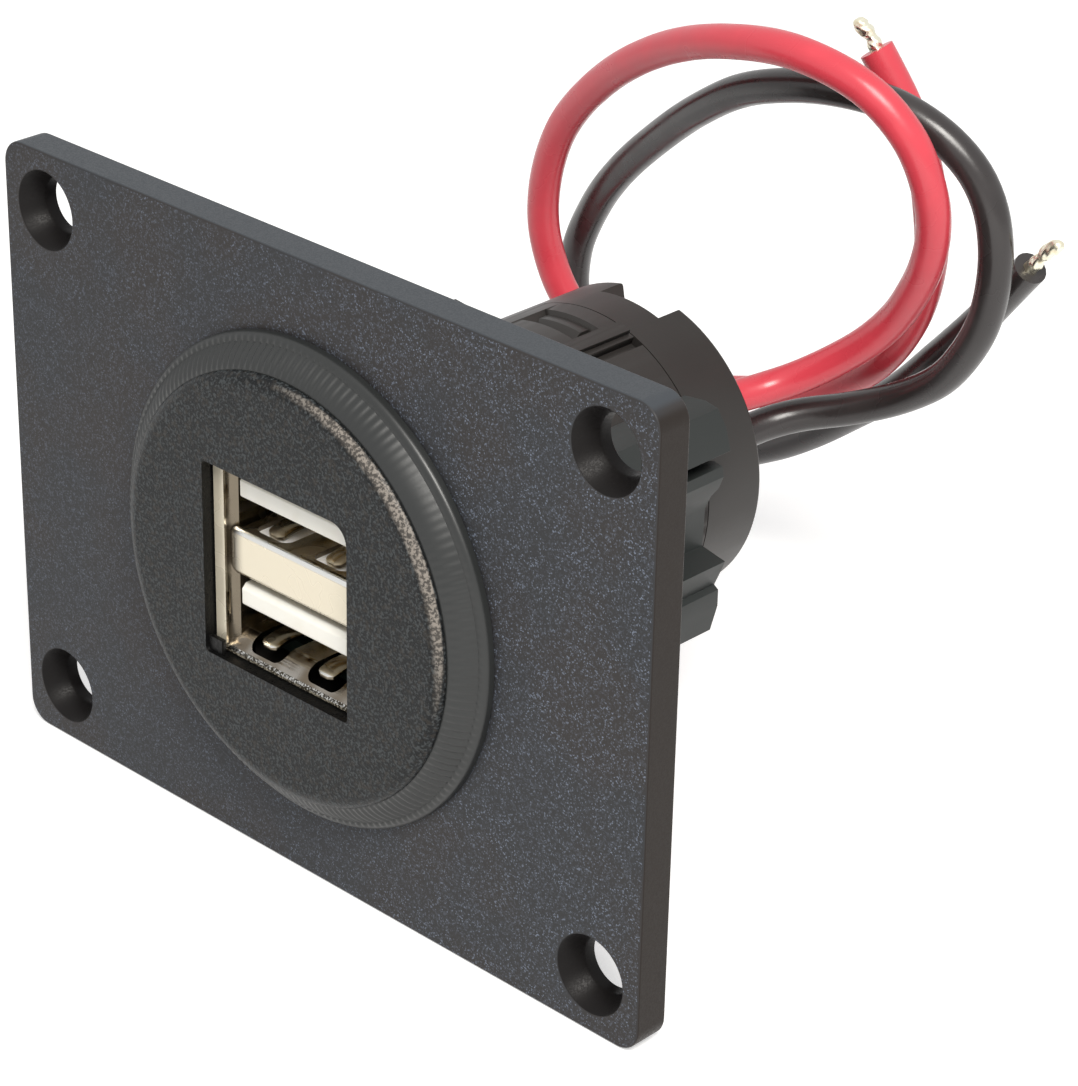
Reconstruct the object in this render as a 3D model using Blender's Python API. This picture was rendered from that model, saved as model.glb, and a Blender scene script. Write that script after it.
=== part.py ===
"""Panel-mounted dual USB power socket for a vehicle, on a flat mounting plate, with two bare-ended leads.

The plate stands upright. Its back face lies in the plane y = 0 and the socket's axis is the Y axis: the
ports look along -Y, and the barrel and the leads run along +Y. X is the plate's width and Z its height.
"""

import math

import bmesh
import bpy
from mathutils import Matrix, Vector

# Mounting plate
PLATE_WIDTH = 0.068
PLATE_HEIGHT = 0.051
PLATE_THICKNESS = 0.003
PLATE_CORNER_RADIUS = 0.0020
PLATE_EDGE_ROUNDING = 0.0002
SCREW_HOLE_INSET = 0.00475
SCREW_HOLE_DIAMETER = 0.0045
COUNTERSINK_DIAMETER = 0.0064
COUNTERSINK_DEPTH = 0.0019

# Clearances
SEAT_GAP = 0.0001
SLIDING_GAP = 0.0003
CONTACT_GAP = 0.0001

# Socket body: a threaded barrel round the connector and its board, with a flange in front of the plate
BORE_CLEARANCE = 0.00061
BARREL_WALL = 0.0015
BARREL_TAIL_LENGTH = 0.00215
FLANGE_WIDTH = 0.0032
FLANGE_THICKNESS = 0.0011

# Snap windows, guide rib and key groove of the barrel, as angles from +X towards +Z
WINDOW_START_ANGLE = 79.0
WINDOW_END_ANGLE = 105.0
WINDOW_LENGTH = 0.0029
WINDOW_END_MARGIN = 0.0018
RIB_START_ANGLE = 71.5
RIB_END_ANGLE = 77.0
RIB_HEIGHT = 0.0004
RIB_LENGTH = 0.0090
GROOVE_START_ANGLE = 65.0
GROOVE_END_ANGLE = 69.5
GROOVE_DEPTH = 0.0007
GROOVE_LENGTH = 0.0150
RAIL_WIDTH = 0.0018
RAIL_HEIGHT = 0.0008

# Bezel ring and front cap. The cap overhangs the flange, and the ring shows round the cap
BEZEL_WIDTH = 0.0024
BEZEL_RIM_HEIGHT = 0.0009
BEZEL_RIM_WIDTH = 0.0007
BEZEL_BULGE = 0.12
CAP_OVERHANG = 0.0010
CAP_PROUD = 0.0032
CAP_EDGE_DEPTH = 0.0007
CAP_EDGE_WIDTH = 0.0012

# Window in the cap
CAP_WINDOW_SIDE_MARGIN = 0.0018
CAP_WINDOW_HEIGHT = 0.0160
CAP_WINDOW_CENTRE_Z = 0.0002
CAP_WINDOW_CORNER = 0.0004
CAP_WINDOW_BIG_CORNER = 0.0016
CAP_WINDOW_STEP = 0.0010

# Rear cap
REAR_CAP_LENGTH = 0.0062
REAR_CAP_EDGE = 0.0003
REAR_CAP_WALL = 0.0013
REAR_RECESS_DEPTH = 0.0027
REAR_END_WALL = 0.0016
SPIGOT_LENGTH = 0.0014
SPIGOT_WALL = 0.0010
NOTCH_START_ANGLE = 73.0
NOTCH_END_ANGLE = 101.0
HOOK_LENGTH = 0.0016
ARM_NOSE = 0.0009
HOOK_SIDE_ANGLE = 1.5
ARM_SET_IN = 0.00005

# Clamp nut with two grip wings, whose outline is given by angle and height over the nut's sleeve
NUT_FRONT_LENGTH = 0.0060
NUT_RING_WIDTH = 0.0035
NUT_SLEEVE_WALL = 0.0008
NUT_END_MARGIN = 0.0016
GRIP_OUTLINE = (
    (-41.0, 0.0011),
    (-37.0, 0.0028),
    (-31.0, 0.0035),
    (-23.0, 0.0030),
    (-18.5, 0.0025),
    (-18.0, 0.0020),
    (-13.0, 0.0022),
    (-9.0, 0.0024),
    (-8.6, 0.0),
    (5.0, 0.0),
    (9.5, 0.0007),
    (12.5, 0.0016),
    (16.0, 0.0023),
    (19.0, 0.0024),
    (20.5, 0.0016),
    (21.0, 0.0005),
    (22.0, 0.0005),
    (23.0, 0.0036),
    (29.0, 0.0039),
    (34.0, 0.0038),
    (37.0, 0.0029),
    (41.0, 0.0011),
)

# Double USB connector
SHELL_FRONT = 0.00100
SHELL_WALL = 0.0004
SHELL_DEPTH = 0.0172
SHELL_LIP_GAP = 0.00015
SHELL_LIP_THICKNESS = 0.0005
SHELL_LIP_FLARE = 0.0010
PORT_WIDTH = 0.0125
PORT_HEIGHT = 0.00512
PORT_PITCH = 0.0090
UPPER_PORT_CENTRE_Z = 0.00541
LIP_OPENING_SIDE_FLARE = 0.00020
LIP_OPENING_MARGIN = 0.0010
DIVIDER_SET_BACK = 0.00025
DIVIDER_ROLL = 0.0004
TONGUE_SIDE_GAP = 0.0007
TONGUE_THICKNESS = 0.00184
TONGUE_TOP_GAP = 0.00067
TONGUE_SET_BACK = 0.0005
TONGUE_LENGTH = 0.0092
TONGUE_CHAMFER = 0.0004
CONTACT_OFFSETS = (-0.0035, -0.0010, 0.0010, 0.0035)
CONTACT_WIDTH = 0.0010
CONTACT_THICKNESS = 0.0003
CONTACT_FRONT_LAND = 0.0011
CONTACT_PIN_SPACING = 0.0014
SPACER_DEPTH = 0.0036
SPACER_HEIGHT = 0.0024
FLOOR_SLOT_OFFSET = 0.0031
FLOOR_SLOT_WIDTH = 0.0022
FLOOR_SLOT_LENGTH = 0.0042
FLOOR_SLOT_FRONT = 0.0022
FLOOR_SLOT_CUT = 0.0004

# Circuit board and what it carries
BOARD_WIDTH = 0.0136
BOARD_THICKNESS = 0.0012
BOARD_FRONT = -0.0015
INDUCTOR_SIDE = 0.0062
INDUCTOR_HEIGHT = 0.0040
INDUCTOR_CORNER = 0.0009
INDUCTOR_X = -0.0030
INDUCTOR_FRONT_GAP = 0.00235
INDUCTOR_BACK_GAP = 0.0006
CAPACITOR_RADIUS = 0.0021
CAPACITOR_HEIGHT = 0.0085
CAPACITOR_EDGE = 0.00025
CAPACITOR_X = 0.0036
CAPACITOR_FRONT_GAP = 0.00025
CAPACITOR_SPACING = 0.0004
CAPACITOR_BACK_GAP = 0.0001
CHIP_SIZE = (0.0039, 0.0050, 0.0015)
CHIP_PLACE_Y = 0.0090
DIODE_SIZE = (0.0026, 0.0043, 0.0018)
DIODE_BACK_GAP = 0.00505

# Leads, with their tinned ends
LEAD_DIAMETER = 0.0028
LEAD_PITCH = 0.0046
LEAD_PAIR_CENTRE_Z = -0.0017
LEAD_HOLE_CLEARANCE = 0.00015
LEAD_POINT_SPACING = 0.0055
GROMMET_WIDTH = 0.0050
GROMMET_FLANGE_LIP = 0.0008
GROMMET_FLANGE_THICKNESS = 0.0012
TIP_DIAMETER = 0.0013
TIP_GAP = 0.0003
RED_LEAD_ROUTE = (
    (0.0, 0.0302, 0.0006),
    (0.0, 0.0345, 0.0006),
    (0.0002, 0.0390, 0.0005),
    (0.0025, 0.0454, 0.0011),
    (0.0045, 0.0475, 0.0022),
    (0.0073, 0.0491, 0.0043),
    (0.0098, 0.0496, 0.0065),
    (0.0123, 0.0495, 0.0093),
    (0.0147, 0.0486, 0.0127),
    (0.0165, 0.0476, 0.0159),
    (0.0176, 0.0466, 0.0192),
    (0.0178, 0.0456, 0.0225),
    (0.0165, 0.0442, 0.0270),
    (0.0131, 0.0430, 0.0303),
    (0.0070, 0.0421, 0.0319),
    (-0.0004, 0.0425, 0.0309),
    (-0.0096, 0.0447, 0.0273),
    (-0.0184, 0.0472, 0.0215),
    (-0.0243, 0.0488, 0.0152),
    (-0.0270, 0.0498, 0.0088),
    (-0.0273, 0.0505, 0.0038),
    (-0.0254, 0.0515, -0.0016),
    (-0.0210, 0.0529, -0.0056),
    (-0.0156, 0.0541, -0.0072),
    (-0.0040, 0.0554, -0.0045),
    (0.0023, 0.0549, -0.0016),
    (0.0069, 0.0543, 0.0019),
    (0.0103, 0.0537, 0.0063),
    (0.0120, 0.0533, 0.0101),
    (0.0129, 0.0528, 0.0144),
    (0.0128, 0.0524, 0.0179),
    (0.0122, 0.0520, 0.0216),
    (0.0105, 0.0513, 0.0261),
    (0.0091, 0.0508, 0.0286),
    (0.0079, 0.0504, 0.0305),
)
BLACK_LEAD_ROUTE = (
    (0.0, 0.0302, -0.0040),
    (0.0, 0.0345, -0.0040),
    (0.0002, 0.0390, -0.0039),
    (0.0020, 0.0464, -0.0026),
    (0.0038, 0.0487, -0.0019),
    (0.0072, 0.0510, -0.0009),
    (0.0112, 0.0523, 0.0010),
    (0.0150, 0.0524, 0.0038),
    (0.0174, 0.0520, 0.0067),
    (0.0196, 0.0513, 0.0105),
    (0.0208, 0.0506, 0.0145),
    (0.0210, 0.0502, 0.0180),
    (0.0204, 0.0498, 0.0212),
    (0.0191, 0.0493, 0.0237),
    (0.0169, 0.0486, 0.0258),
    (0.0141, 0.0478, 0.0273),
    (0.0111, 0.0472, 0.0280),
    (0.0065, 0.0466, 0.0279),
    (0.0014, 0.0467, 0.0267),
    (-0.0033, 0.0474, 0.0248),
    (-0.0086, 0.0487, 0.0215),
    (-0.0144, 0.0505, 0.0171),
    (-0.0205, 0.0524, 0.0117),
    (-0.0248, 0.0539, 0.0067),
    (-0.0278, 0.0550, 0.0013),
    (-0.0287, 0.0560, -0.0039),
    (-0.0266, 0.0574, -0.0102),
    (-0.0209, 0.0585, -0.0143),
    (-0.0122, 0.0589, -0.0141),
    (-0.0076, 0.0589, -0.0121),
    (-0.0030, 0.0586, -0.0092),
    (0.0015, 0.0582, -0.0058),
    (0.0071, 0.0576, -0.0012),
    (0.0116, 0.0567, 0.0035),
    (0.0161, 0.0557, 0.0084),
    (0.0193, 0.0549, 0.0123),
    (0.0215, 0.0544, 0.0150),
)
RED_TIP_BEND = ((-0.0004, -0.0001, 0.0008), (-0.0011, -0.0004, 0.0015), (-0.0014, -0.0005, 0.0021))
BLACK_TIP_BEND = ((0.0008, -0.0002, 0.0009), (0.0019, -0.0005, 0.0021), (0.0031, -0.0008, 0.0030))

# Facets. ARC_MIDDLE is how far the middle of a small rounded edge lies inside its corner, as a share of its size
FACE_STEPS = 96
FINE_STEPS = 72
HOLE_STEPS = 32
SMALL_STEPS = 24
EDGE_STEPS = 6
ARC_STEP_ANGLE = 5.0
ARC_MIDDLE = 0.3

# Places worked out from the sizes above
PLATE_FRONT = -PLATE_THICKNESS
FLANGE_BACK = PLATE_FRONT - SEAT_GAP
FLANGE_FRONT = FLANGE_BACK - FLANGE_THICKNESS
CAP_FRONT = PLATE_FRONT - CAP_PROUD
CAP_BACK = FLANGE_FRONT - SEAT_GAP
CAP_EDGE = CAP_FRONT + CAP_EDGE_DEPTH
SHELL_FACE = CAP_FRONT + SHELL_FRONT
SHELL_BACK = SHELL_FACE + SHELL_DEPTH
CAP_WINDOW_WIDTH = PORT_WIDTH + 2 * CAP_WINDOW_SIDE_MARGIN
LIP_OPENING_WIDTH = PORT_WIDTH + 2 * LIP_OPENING_SIDE_FLARE
TONGUE_WIDTH = PORT_WIDTH - 2 * TONGUE_SIDE_GAP
LOWER_PORT_CENTRE_Z = UPPER_PORT_CENTRE_Z - PORT_PITCH
SHELL_INNER_TOP = UPPER_PORT_CENTRE_Z + PORT_HEIGHT / 2
SHELL_INNER_BOTTOM = LOWER_PORT_CENTRE_Z - PORT_HEIGHT / 2
DIVIDER_TOP = UPPER_PORT_CENTRE_Z - PORT_HEIGHT / 2
DIVIDER_BOTTOM = LOWER_PORT_CENTRE_Z + PORT_HEIGHT / 2
BOARD_TOP = SHELL_INNER_BOTTOM - SHELL_WALL - SLIDING_GAP
BOARD_BOTTOM = BOARD_TOP - BOARD_THICKNESS
BARREL_BORE = math.hypot(PORT_WIDTH / 2 + SHELL_WALL, SHELL_INNER_TOP + SHELL_WALL) + BORE_CLEARANCE
BARREL_RADIUS = BARREL_BORE + BARREL_WALL
FLANGE_RADIUS = BARREL_RADIUS + FLANGE_WIDTH
CAP_RADIUS = FLANGE_RADIUS + CAP_OVERHANG
BEZEL_RADIUS = CAP_RADIUS + BEZEL_WIDTH
SPACER_FRONT = SHELL_BACK + SEAT_GAP
SPACER_BACK = SPACER_FRONT + SPACER_DEPTH
INDUCTOR_ROW = INDUCTOR_FRONT_GAP + INDUCTOR_SIDE + INDUCTOR_BACK_GAP
CAPACITOR_ROW = CAPACITOR_FRONT_GAP + 4 * CAPACITOR_RADIUS + CAPACITOR_SPACING + CAPACITOR_BACK_GAP
BOARD_BACK = SPACER_BACK + max(INDUCTOR_ROW, CAPACITOR_ROW)
INDUCTOR_Y = SPACER_BACK + INDUCTOR_FRONT_GAP + INDUCTOR_SIDE / 2
OUTPUT_CAPACITOR_Y = BOARD_BACK - CAPACITOR_BACK_GAP - CAPACITOR_RADIUS
INPUT_CAPACITOR_Y = OUTPUT_CAPACITOR_Y - CAPACITOR_SPACING - 2 * CAPACITOR_RADIUS
DIODE_Y = BOARD_BACK - DIODE_BACK_GAP - DIODE_SIZE[1] / 2
BARREL_LENGTH = BOARD_BACK + BARREL_TAIL_LENGTH
WINDOW_BACK = BARREL_LENGTH - WINDOW_END_MARGIN
WINDOW_FRONT = WINDOW_BACK - WINDOW_LENGTH
RIB_FRONT = BARREL_LENGTH - RIB_LENGTH
GROOVE_FRONT = BARREL_LENGTH - GROOVE_LENGTH
REAR_SEAM = BARREL_LENGTH + SEAT_GAP
REAR_RIM = BARREL_LENGTH + REAR_CAP_LENGTH
REAR_WALL_BACK = REAR_RIM - REAR_RECESS_DEPTH
REAR_WALL_FRONT = REAR_WALL_BACK - REAR_END_WALL
SPIGOT_RADIUS = BARREL_BORE - SLIDING_GAP
NUT_BORE = BARREL_RADIUS + SLIDING_GAP
NUT_RADIUS = NUT_BORE + NUT_RING_WIDTH
NUT_SLEEVE_RADIUS = NUT_BORE + NUT_SLEEVE_WALL
NUT_FRONT = SLIDING_GAP
NUT_BACK = BARREL_LENGTH - NUT_END_MARGIN


def clear_scene():
    for old in list(bpy.data.objects):
        bpy.data.objects.remove(old, do_unlink=True)


def make_material(name, colour, roughness, metallic=0.0):
    material = bpy.data.materials.new(name)
    material.use_nodes = True
    shader = material.node_tree.nodes["Principled BSDF"]
    shader.inputs["Base Color"].default_value = (*colour, 1.0)
    shader.inputs["Roughness"].default_value = roughness
    shader.inputs["Metallic"].default_value = metallic
    return material


def add_object(name, bm, material, parent, place=(0.0, 0.0, 0.0)):
    """Turns a bmesh into a named object under the given parent."""
    bmesh.ops.remove_doubles(bm, verts=bm.verts, dist=1e-6)
    bmesh.ops.recalc_face_normals(bm, faces=bm.faces)
    mesh = bpy.data.meshes.new(name)
    bm.to_mesh(mesh)
    bm.free()
    mesh.shade_smooth()
    mesh.set_sharp_from_angle(angle=math.radians(30))
    made = bpy.data.objects.new(name, mesh)
    made.location = place
    made.parent = parent
    bpy.context.scene.collection.objects.link(made)
    if material:
        mesh.materials.append(material)
    return made


def box(x_range, y_range, z_range):
    bm = bmesh.new()
    bmesh.ops.create_cube(bm, size=1.0)
    for vert in bm.verts:
        for axis, (low, high) in enumerate((x_range, y_range, z_range)):
            vert.co[axis] = low if vert.co[axis] < 0 else high
    return bm


def centred(middle, size):
    return (middle - size / 2, middle + size / 2)


def extruded(points, vector):
    """Extrudes a flat outline of points along a vector."""
    bm = bmesh.new()
    face = bm.faces.new([bm.verts.new(point) for point in points])
    grown = bmesh.ops.extrude_face_region(bm, geom=[face])
    moved = [item for item in grown["geom"] if isinstance(item, bmesh.types.BMVert)]
    bmesh.ops.translate(bm, verts=moved, vec=vector)
    return bm


def at_depth(outline, y):
    return [(x, y, z) for x, z in outline]


def prism(outline, front, back):
    """Extrudes an outline of (x, z) points from one y to another."""
    return extruded(at_depth(outline, front), (0.0, back - front, 0.0))


def loft(sections):
    """Joins loops of points by faces, with a cap on the first and on the last."""
    bm = bmesh.new()
    loops = [[bm.verts.new(point) for point in section] for section in sections]
    for first, second in zip(loops, loops[1:]):
        count = len(first)
        for i in range(count):
            j = (i + 1) % count
            bm.faces.new((first[i], first[j], second[j], second[i]))
    bm.faces.new(loops[0])
    bm.faces.new(loops[-1])
    return bm


def turned(profile, steps=FINE_STEPS):
    """Spins a closed profile of (radius, y) points a full turn about the Y axis."""
    bm = bmesh.new()
    verts = [bm.verts.new((radius, y, 0.0)) for radius, y in profile]
    edges = [bm.edges.new((a, b)) for a, b in zip(verts, verts[1:] + verts[:1])]
    bmesh.ops.spin(
        bm,
        geom=verts + edges,
        cent=(0.0, 0.0, 0.0),
        axis=(0.0, 1.0, 0.0),
        angle=math.tau,
        steps=steps,
        use_merge=True,
    )
    return bm


def polar(radius, degrees):
    """The (x, z) point at an angle from +X towards +Z."""
    angle = math.radians(degrees)
    return (radius * math.cos(angle), radius * math.sin(angle))


def arc_points(radius, start, end):
    steps = max(2, math.ceil(abs(end - start) / ARC_STEP_ANGLE))
    return [polar(radius, start + (end - start) * i / steps) for i in range(steps + 1)]


def arc_block(inner, outer, start, end, front, back):
    """A block bent round the Y axis, between two radii, two angles and two y values."""
    outline = arc_points(outer, start, end) + arc_points(inner, end, start)
    return prism(outline, front, back)


def round_bar(levels, centre=(0.0, 0.0), steps=SMALL_STEPS):
    """A round solid along Y through the given (y, radius) levels."""
    sections = []
    for y, radius in levels:
        ring = [polar(radius, 360.0 * i / steps) for i in range(steps)]
        sections.append([(centre[0] + x, y, centre[1] + z) for x, z in ring])
    return loft(sections)


def rod(radius, front, back, centre=(0.0, 0.0), steps=SMALL_STEPS):
    return round_bar(((front, radius), (back, radius)), centre, steps)


def rounded_rectangle(width, height, corners, centre=(0.0, 0.0), corner_steps=6):
    """(x, z) points of a rectangle whose corner radii are given from top right, anticlockwise."""
    points = []
    signs = ((1, 1), (-1, 1), (-1, -1), (1, -1))
    for index, ((sign_x, sign_z), radius) in enumerate(zip(signs, corners)):
        middle_x = centre[0] + sign_x * (width / 2 - radius)
        middle_z = centre[1] + sign_z * (height / 2 - radius)
        for step in range(corner_steps + 1):
            x, z = polar(radius, 90.0 * (index + step / corner_steps))
            points.append((middle_x + x, middle_z + z))
    return points


def boolean(target, name, bm, parent, operation="DIFFERENCE"):
    """Adds a hidden helper solid and the Boolean modifier that uses it."""
    helper = add_object(name, bm, None, parent)
    helper.hide_render = True
    helper.display_type = "WIRE"
    modifier = target.modifiers.new(name, "BOOLEAN")
    modifier.operation = operation
    modifier.object = helper
    modifier.solver = "EXACT"


def opposite(bm):
    """Turns a solid half a turn about the socket's axis."""
    bmesh.ops.rotate(bm, verts=bm.verts, cent=(0, 0, 0), matrix=Matrix.Rotation(math.pi, 3, "Y"))
    return bm


def make_plate(parent, material):
    sections = []
    for y, inset in (
        (PLATE_FRONT, PLATE_EDGE_ROUNDING),
        (PLATE_FRONT + PLATE_EDGE_ROUNDING * ARC_MIDDLE, PLATE_EDGE_ROUNDING * ARC_MIDDLE),
        (PLATE_FRONT + PLATE_EDGE_ROUNDING, 0.0),
        (-PLATE_EDGE_ROUNDING, 0.0),
        (-PLATE_EDGE_ROUNDING * ARC_MIDDLE, PLATE_EDGE_ROUNDING * ARC_MIDDLE),
        (0.0, PLATE_EDGE_ROUNDING),
    ):
        width = PLATE_WIDTH - 2 * inset
        height = PLATE_HEIGHT - 2 * inset
        radius = PLATE_CORNER_RADIUS - inset
        sections.append(at_depth(rounded_rectangle(width, height, [radius] * 4), y))
    plate = add_object("mounting_plate", loft(sections), material, parent)
    past = PLATE_THICKNESS
    bore = rod(BARREL_RADIUS + SLIDING_GAP, PLATE_FRONT - past, past, steps=FINE_STEPS)
    boolean(plate, "plate_bore_cutter", bore, parent)
    hole_radius = SCREW_HOLE_DIAMETER / 2
    slope = (COUNTERSINK_DIAMETER / 2 - hole_radius) / COUNTERSINK_DEPTH
    levels = (
        (PLATE_FRONT - past, COUNTERSINK_DIAMETER / 2 + slope * past),
        (PLATE_FRONT + COUNTERSINK_DEPTH, hole_radius),
        (past, hole_radius),
    )
    for side_x, across in ((-1, "left"), (1, "right")):
        for side_z, up in ((-1, "bottom"), (1, "top")):
            x = side_x * (PLATE_WIDTH / 2 - SCREW_HOLE_INSET)
            z = side_z * (PLATE_HEIGHT / 2 - SCREW_HOLE_INSET)
            cutter = round_bar(levels, (x, z), HOLE_STEPS)
            boolean(plate, f"screw_hole_cutter_{across}_{up}", cutter, parent)


def make_socket_body(parent, material):
    profile = (
        (BARREL_BORE, FLANGE_FRONT),
        (FLANGE_RADIUS, FLANGE_FRONT),
        (FLANGE_RADIUS, FLANGE_BACK),
        (BARREL_RADIUS, FLANGE_BACK),
        (BARREL_RADIUS, BARREL_LENGTH),
        (BARREL_BORE, BARREL_LENGTH),
    )
    body = add_object("socket_body", turned(profile), material, parent)
    inside = BARREL_BORE - SLIDING_GAP
    outside = BARREL_RADIUS + BARREL_WALL
    middle = BARREL_RADIUS - BARREL_WALL / 2

    def window():
        return arc_block(inside, outside, WINDOW_START_ANGLE, WINDOW_END_ANGLE, WINDOW_FRONT, WINDOW_BACK)

    boolean(body, "top_window_cutter", window(), parent)
    boolean(body, "bottom_window_cutter", opposite(window()), parent)
    groove = arc_block(
        BARREL_RADIUS - GROOVE_DEPTH,
        outside,
        GROOVE_START_ANGLE,
        GROOVE_END_ANGLE,
        GROOVE_FRONT,
        BARREL_LENGTH + BARREL_WALL,
    )
    boolean(body, "key_groove_cutter", groove, parent)
    rib = arc_block(
        middle,
        BARREL_RADIUS + RIB_HEIGHT,
        RIB_START_ANGLE,
        RIB_END_ANGLE,
        max(RIB_FRONT, NUT_FRONT + NUT_FRONT_LENGTH),
        BARREL_LENGTH - SEAT_GAP,
    )
    boolean(body, "guide_rib_shape", rib, parent, "UNION")
    rail_top = BOARD_BOTTOM - SLIDING_GAP
    rail_bottom = rail_top - RAIL_HEIGHT
    wall_x = math.sqrt(middle**2 - rail_top**2)
    rail_ends = (FLANGE_BACK, BARREL_LENGTH - SPIGOT_LENGTH - BARREL_WALL)
    for side, label in ((-1, "left"), (1, "right")):
        x_range = sorted((side * (BOARD_WIDTH / 2 - RAIL_WIDTH), side * wall_x))
        rail = box(x_range, rail_ends, (rail_bottom, rail_top))
        boolean(body, "board_rail_shape_" + label, rail, parent, "UNION")


def make_bezel_ring(parent, material):
    inner = FLANGE_RADIUS + SEAT_GAP
    crown = CAP_EDGE + SEAT_GAP
    rim_top = FLANGE_BACK - BEZEL_RIM_HEIGHT
    slope_start = BEZEL_RADIUS - BEZEL_RIM_WIDTH
    profile = [
        (inner, FLANGE_BACK),
        (inner, crown),
        (CAP_RADIUS + SEAT_GAP, crown),
    ]
    for step in range(1, EDGE_STEPS + 1):
        share = step / EDGE_STEPS
        radius = CAP_RADIUS + SEAT_GAP + (slope_start - CAP_RADIUS - SEAT_GAP) * share
        bulge = BEZEL_BULGE * math.sin(math.pi * share)
        profile.append((radius, crown + (rim_top - crown) * (share - bulge)))
    profile += [
        (BEZEL_RADIUS - BEZEL_RIM_WIDTH * ARC_MIDDLE, rim_top + BEZEL_RIM_HEIGHT * ARC_MIDDLE / 2),
        (BEZEL_RADIUS, rim_top + BEZEL_RIM_HEIGHT / 2),
        (BEZEL_RADIUS, FLANGE_BACK),
    ]
    add_object("bezel_ring", turned(profile, FACE_STEPS), material, parent)


def window_outline(inset):
    """The outline of the cap's window, or of what fits inside it with the given gap."""
    corners = [CAP_WINDOW_BIG_CORNER - inset] + [CAP_WINDOW_CORNER - inset] * 3
    width = CAP_WINDOW_WIDTH - 2 * inset
    height = CAP_WINDOW_HEIGHT - 2 * inset
    return rounded_rectangle(width, height, corners, (0.0, CAP_WINDOW_CENTRE_Z))


def make_face_cap(parent, material):
    inside_window = min(CAP_WINDOW_WIDTH, CAP_WINDOW_HEIGHT) / 4
    profile = [(inside_window, CAP_FRONT)]
    for step in range(EDGE_STEPS + 1):
        angle = math.pi / 2 * step / EDGE_STEPS
        radius = CAP_RADIUS - CAP_EDGE_WIDTH + CAP_EDGE_WIDTH * math.sin(angle)
        profile.append((radius, CAP_EDGE - CAP_EDGE_DEPTH * math.cos(angle)))
    profile += [
        (FLANGE_RADIUS, CAP_EDGE),
        (FLANGE_RADIUS, CAP_BACK),
        (inside_window, CAP_BACK),
    ]
    cap = add_object("face_cap", turned(profile, FACE_STEPS), material, parent)
    past = CAP_PROUD
    boolean(cap, "cap_window_cutter", prism(window_outline(0.0), CAP_FRONT - past, CAP_BACK + past), parent)
    corner_x = -CAP_WINDOW_WIDTH / 2
    corner_z = CAP_WINDOW_CENTRE_Z - CAP_WINDOW_HEIGHT / 2
    step = box(
        (corner_x - CAP_WINDOW_STEP, corner_x + CAP_WINDOW_STEP),
        (CAP_FRONT + SEAT_GAP, SHELL_FACE - SLIDING_GAP),
        (corner_z - CAP_WINDOW_STEP, corner_z + CAP_WINDOW_STEP),
    )
    boolean(cap, "cap_window_step_shape", step, parent, "UNION")


def make_rear_cap(parent, material):
    rim_inner = BARREL_RADIUS - REAR_CAP_WALL
    spigot_inner = SPIGOT_RADIUS - SPIGOT_WALL
    spigot_front = BARREL_LENGTH - SPIGOT_LENGTH
    middle = LEAD_DIAMETER / 2
    profile = (
        (BARREL_RADIUS, REAR_SEAM),
        (BARREL_RADIUS, REAR_RIM - REAR_CAP_EDGE),
        (BARREL_RADIUS - REAR_CAP_EDGE * ARC_MIDDLE, REAR_RIM - REAR_CAP_EDGE * ARC_MIDDLE),
        (BARREL_RADIUS - REAR_CAP_EDGE, REAR_RIM),
        (rim_inner, REAR_RIM),
        (rim_inner, REAR_WALL_BACK),
        (middle, REAR_WALL_BACK),
        (middle, REAR_WALL_FRONT),
        (spigot_inner, REAR_WALL_FRONT),
        (spigot_inner, spigot_front),
        (SPIGOT_RADIUS, spigot_front),
        (SPIGOT_RADIUS, REAR_SEAM),
    )
    cap = add_object("rear_cap", turned(profile), material, parent)
    notch = arc_block(
        rim_inner - REAR_CAP_WALL,
        BARREL_RADIUS + REAR_CAP_WALL,
        NOTCH_START_ANGLE,
        NOTCH_END_ANGLE,
        REAR_WALL_BACK + SEAT_GAP,
        REAR_RIM + REAR_CAP_WALL,
    )
    boolean(cap, "rim_notch_cutter", notch, parent)
    start = WINDOW_START_ANGLE + HOOK_SIDE_ANGLE
    end = WINDOW_END_ANGLE - HOOK_SIDE_ANGLE
    hook_back = WINDOW_BACK - SLIDING_GAP
    hook_front = hook_back - HOOK_LENGTH
    arm_front = hook_front - ARM_NOSE
    arm_inner = spigot_inner + ARM_SET_IN
    arm_outer = SPIGOT_RADIUS - ARM_SET_IN

    def arm():
        return arc_block(arm_inner, arm_outer, start, end, arm_front, spigot_front + SPIGOT_LENGTH / 2)

    def hook():
        low = (arm_inner + arm_outer) / 2
        narrower = start + HOOK_SIDE_ANGLE, end - HOOK_SIDE_ANGLE
        return arc_block(low, BARREL_RADIUS - SLIDING_GAP, *narrower, hook_front, hook_back)

    boolean(cap, "top_snap_arm_shape", arm(), parent, "UNION")
    boolean(cap, "top_snap_hook_shape", hook(), parent, "UNION")
    boolean(cap, "bottom_snap_arm_shape", opposite(arm()), parent, "UNION")
    boolean(cap, "bottom_snap_hook_shape", opposite(hook()), parent, "UNION")
    slot = stadium(GROMMET_WIDTH, REAR_WALL_FRONT - REAR_END_WALL, REAR_WALL_BACK + REAR_END_WALL)
    boolean(cap, "lead_slot_cutter", slot, parent)


def stadium(width, front, back):
    """An upright slot shape of the given width round the pair of leads."""
    height = LEAD_PITCH + width
    centre = (0.0, LEAD_PAIR_CENTRE_Z)
    return prism(rounded_rectangle(width, height, [width / 2] * 4, centre), front, back)


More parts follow.
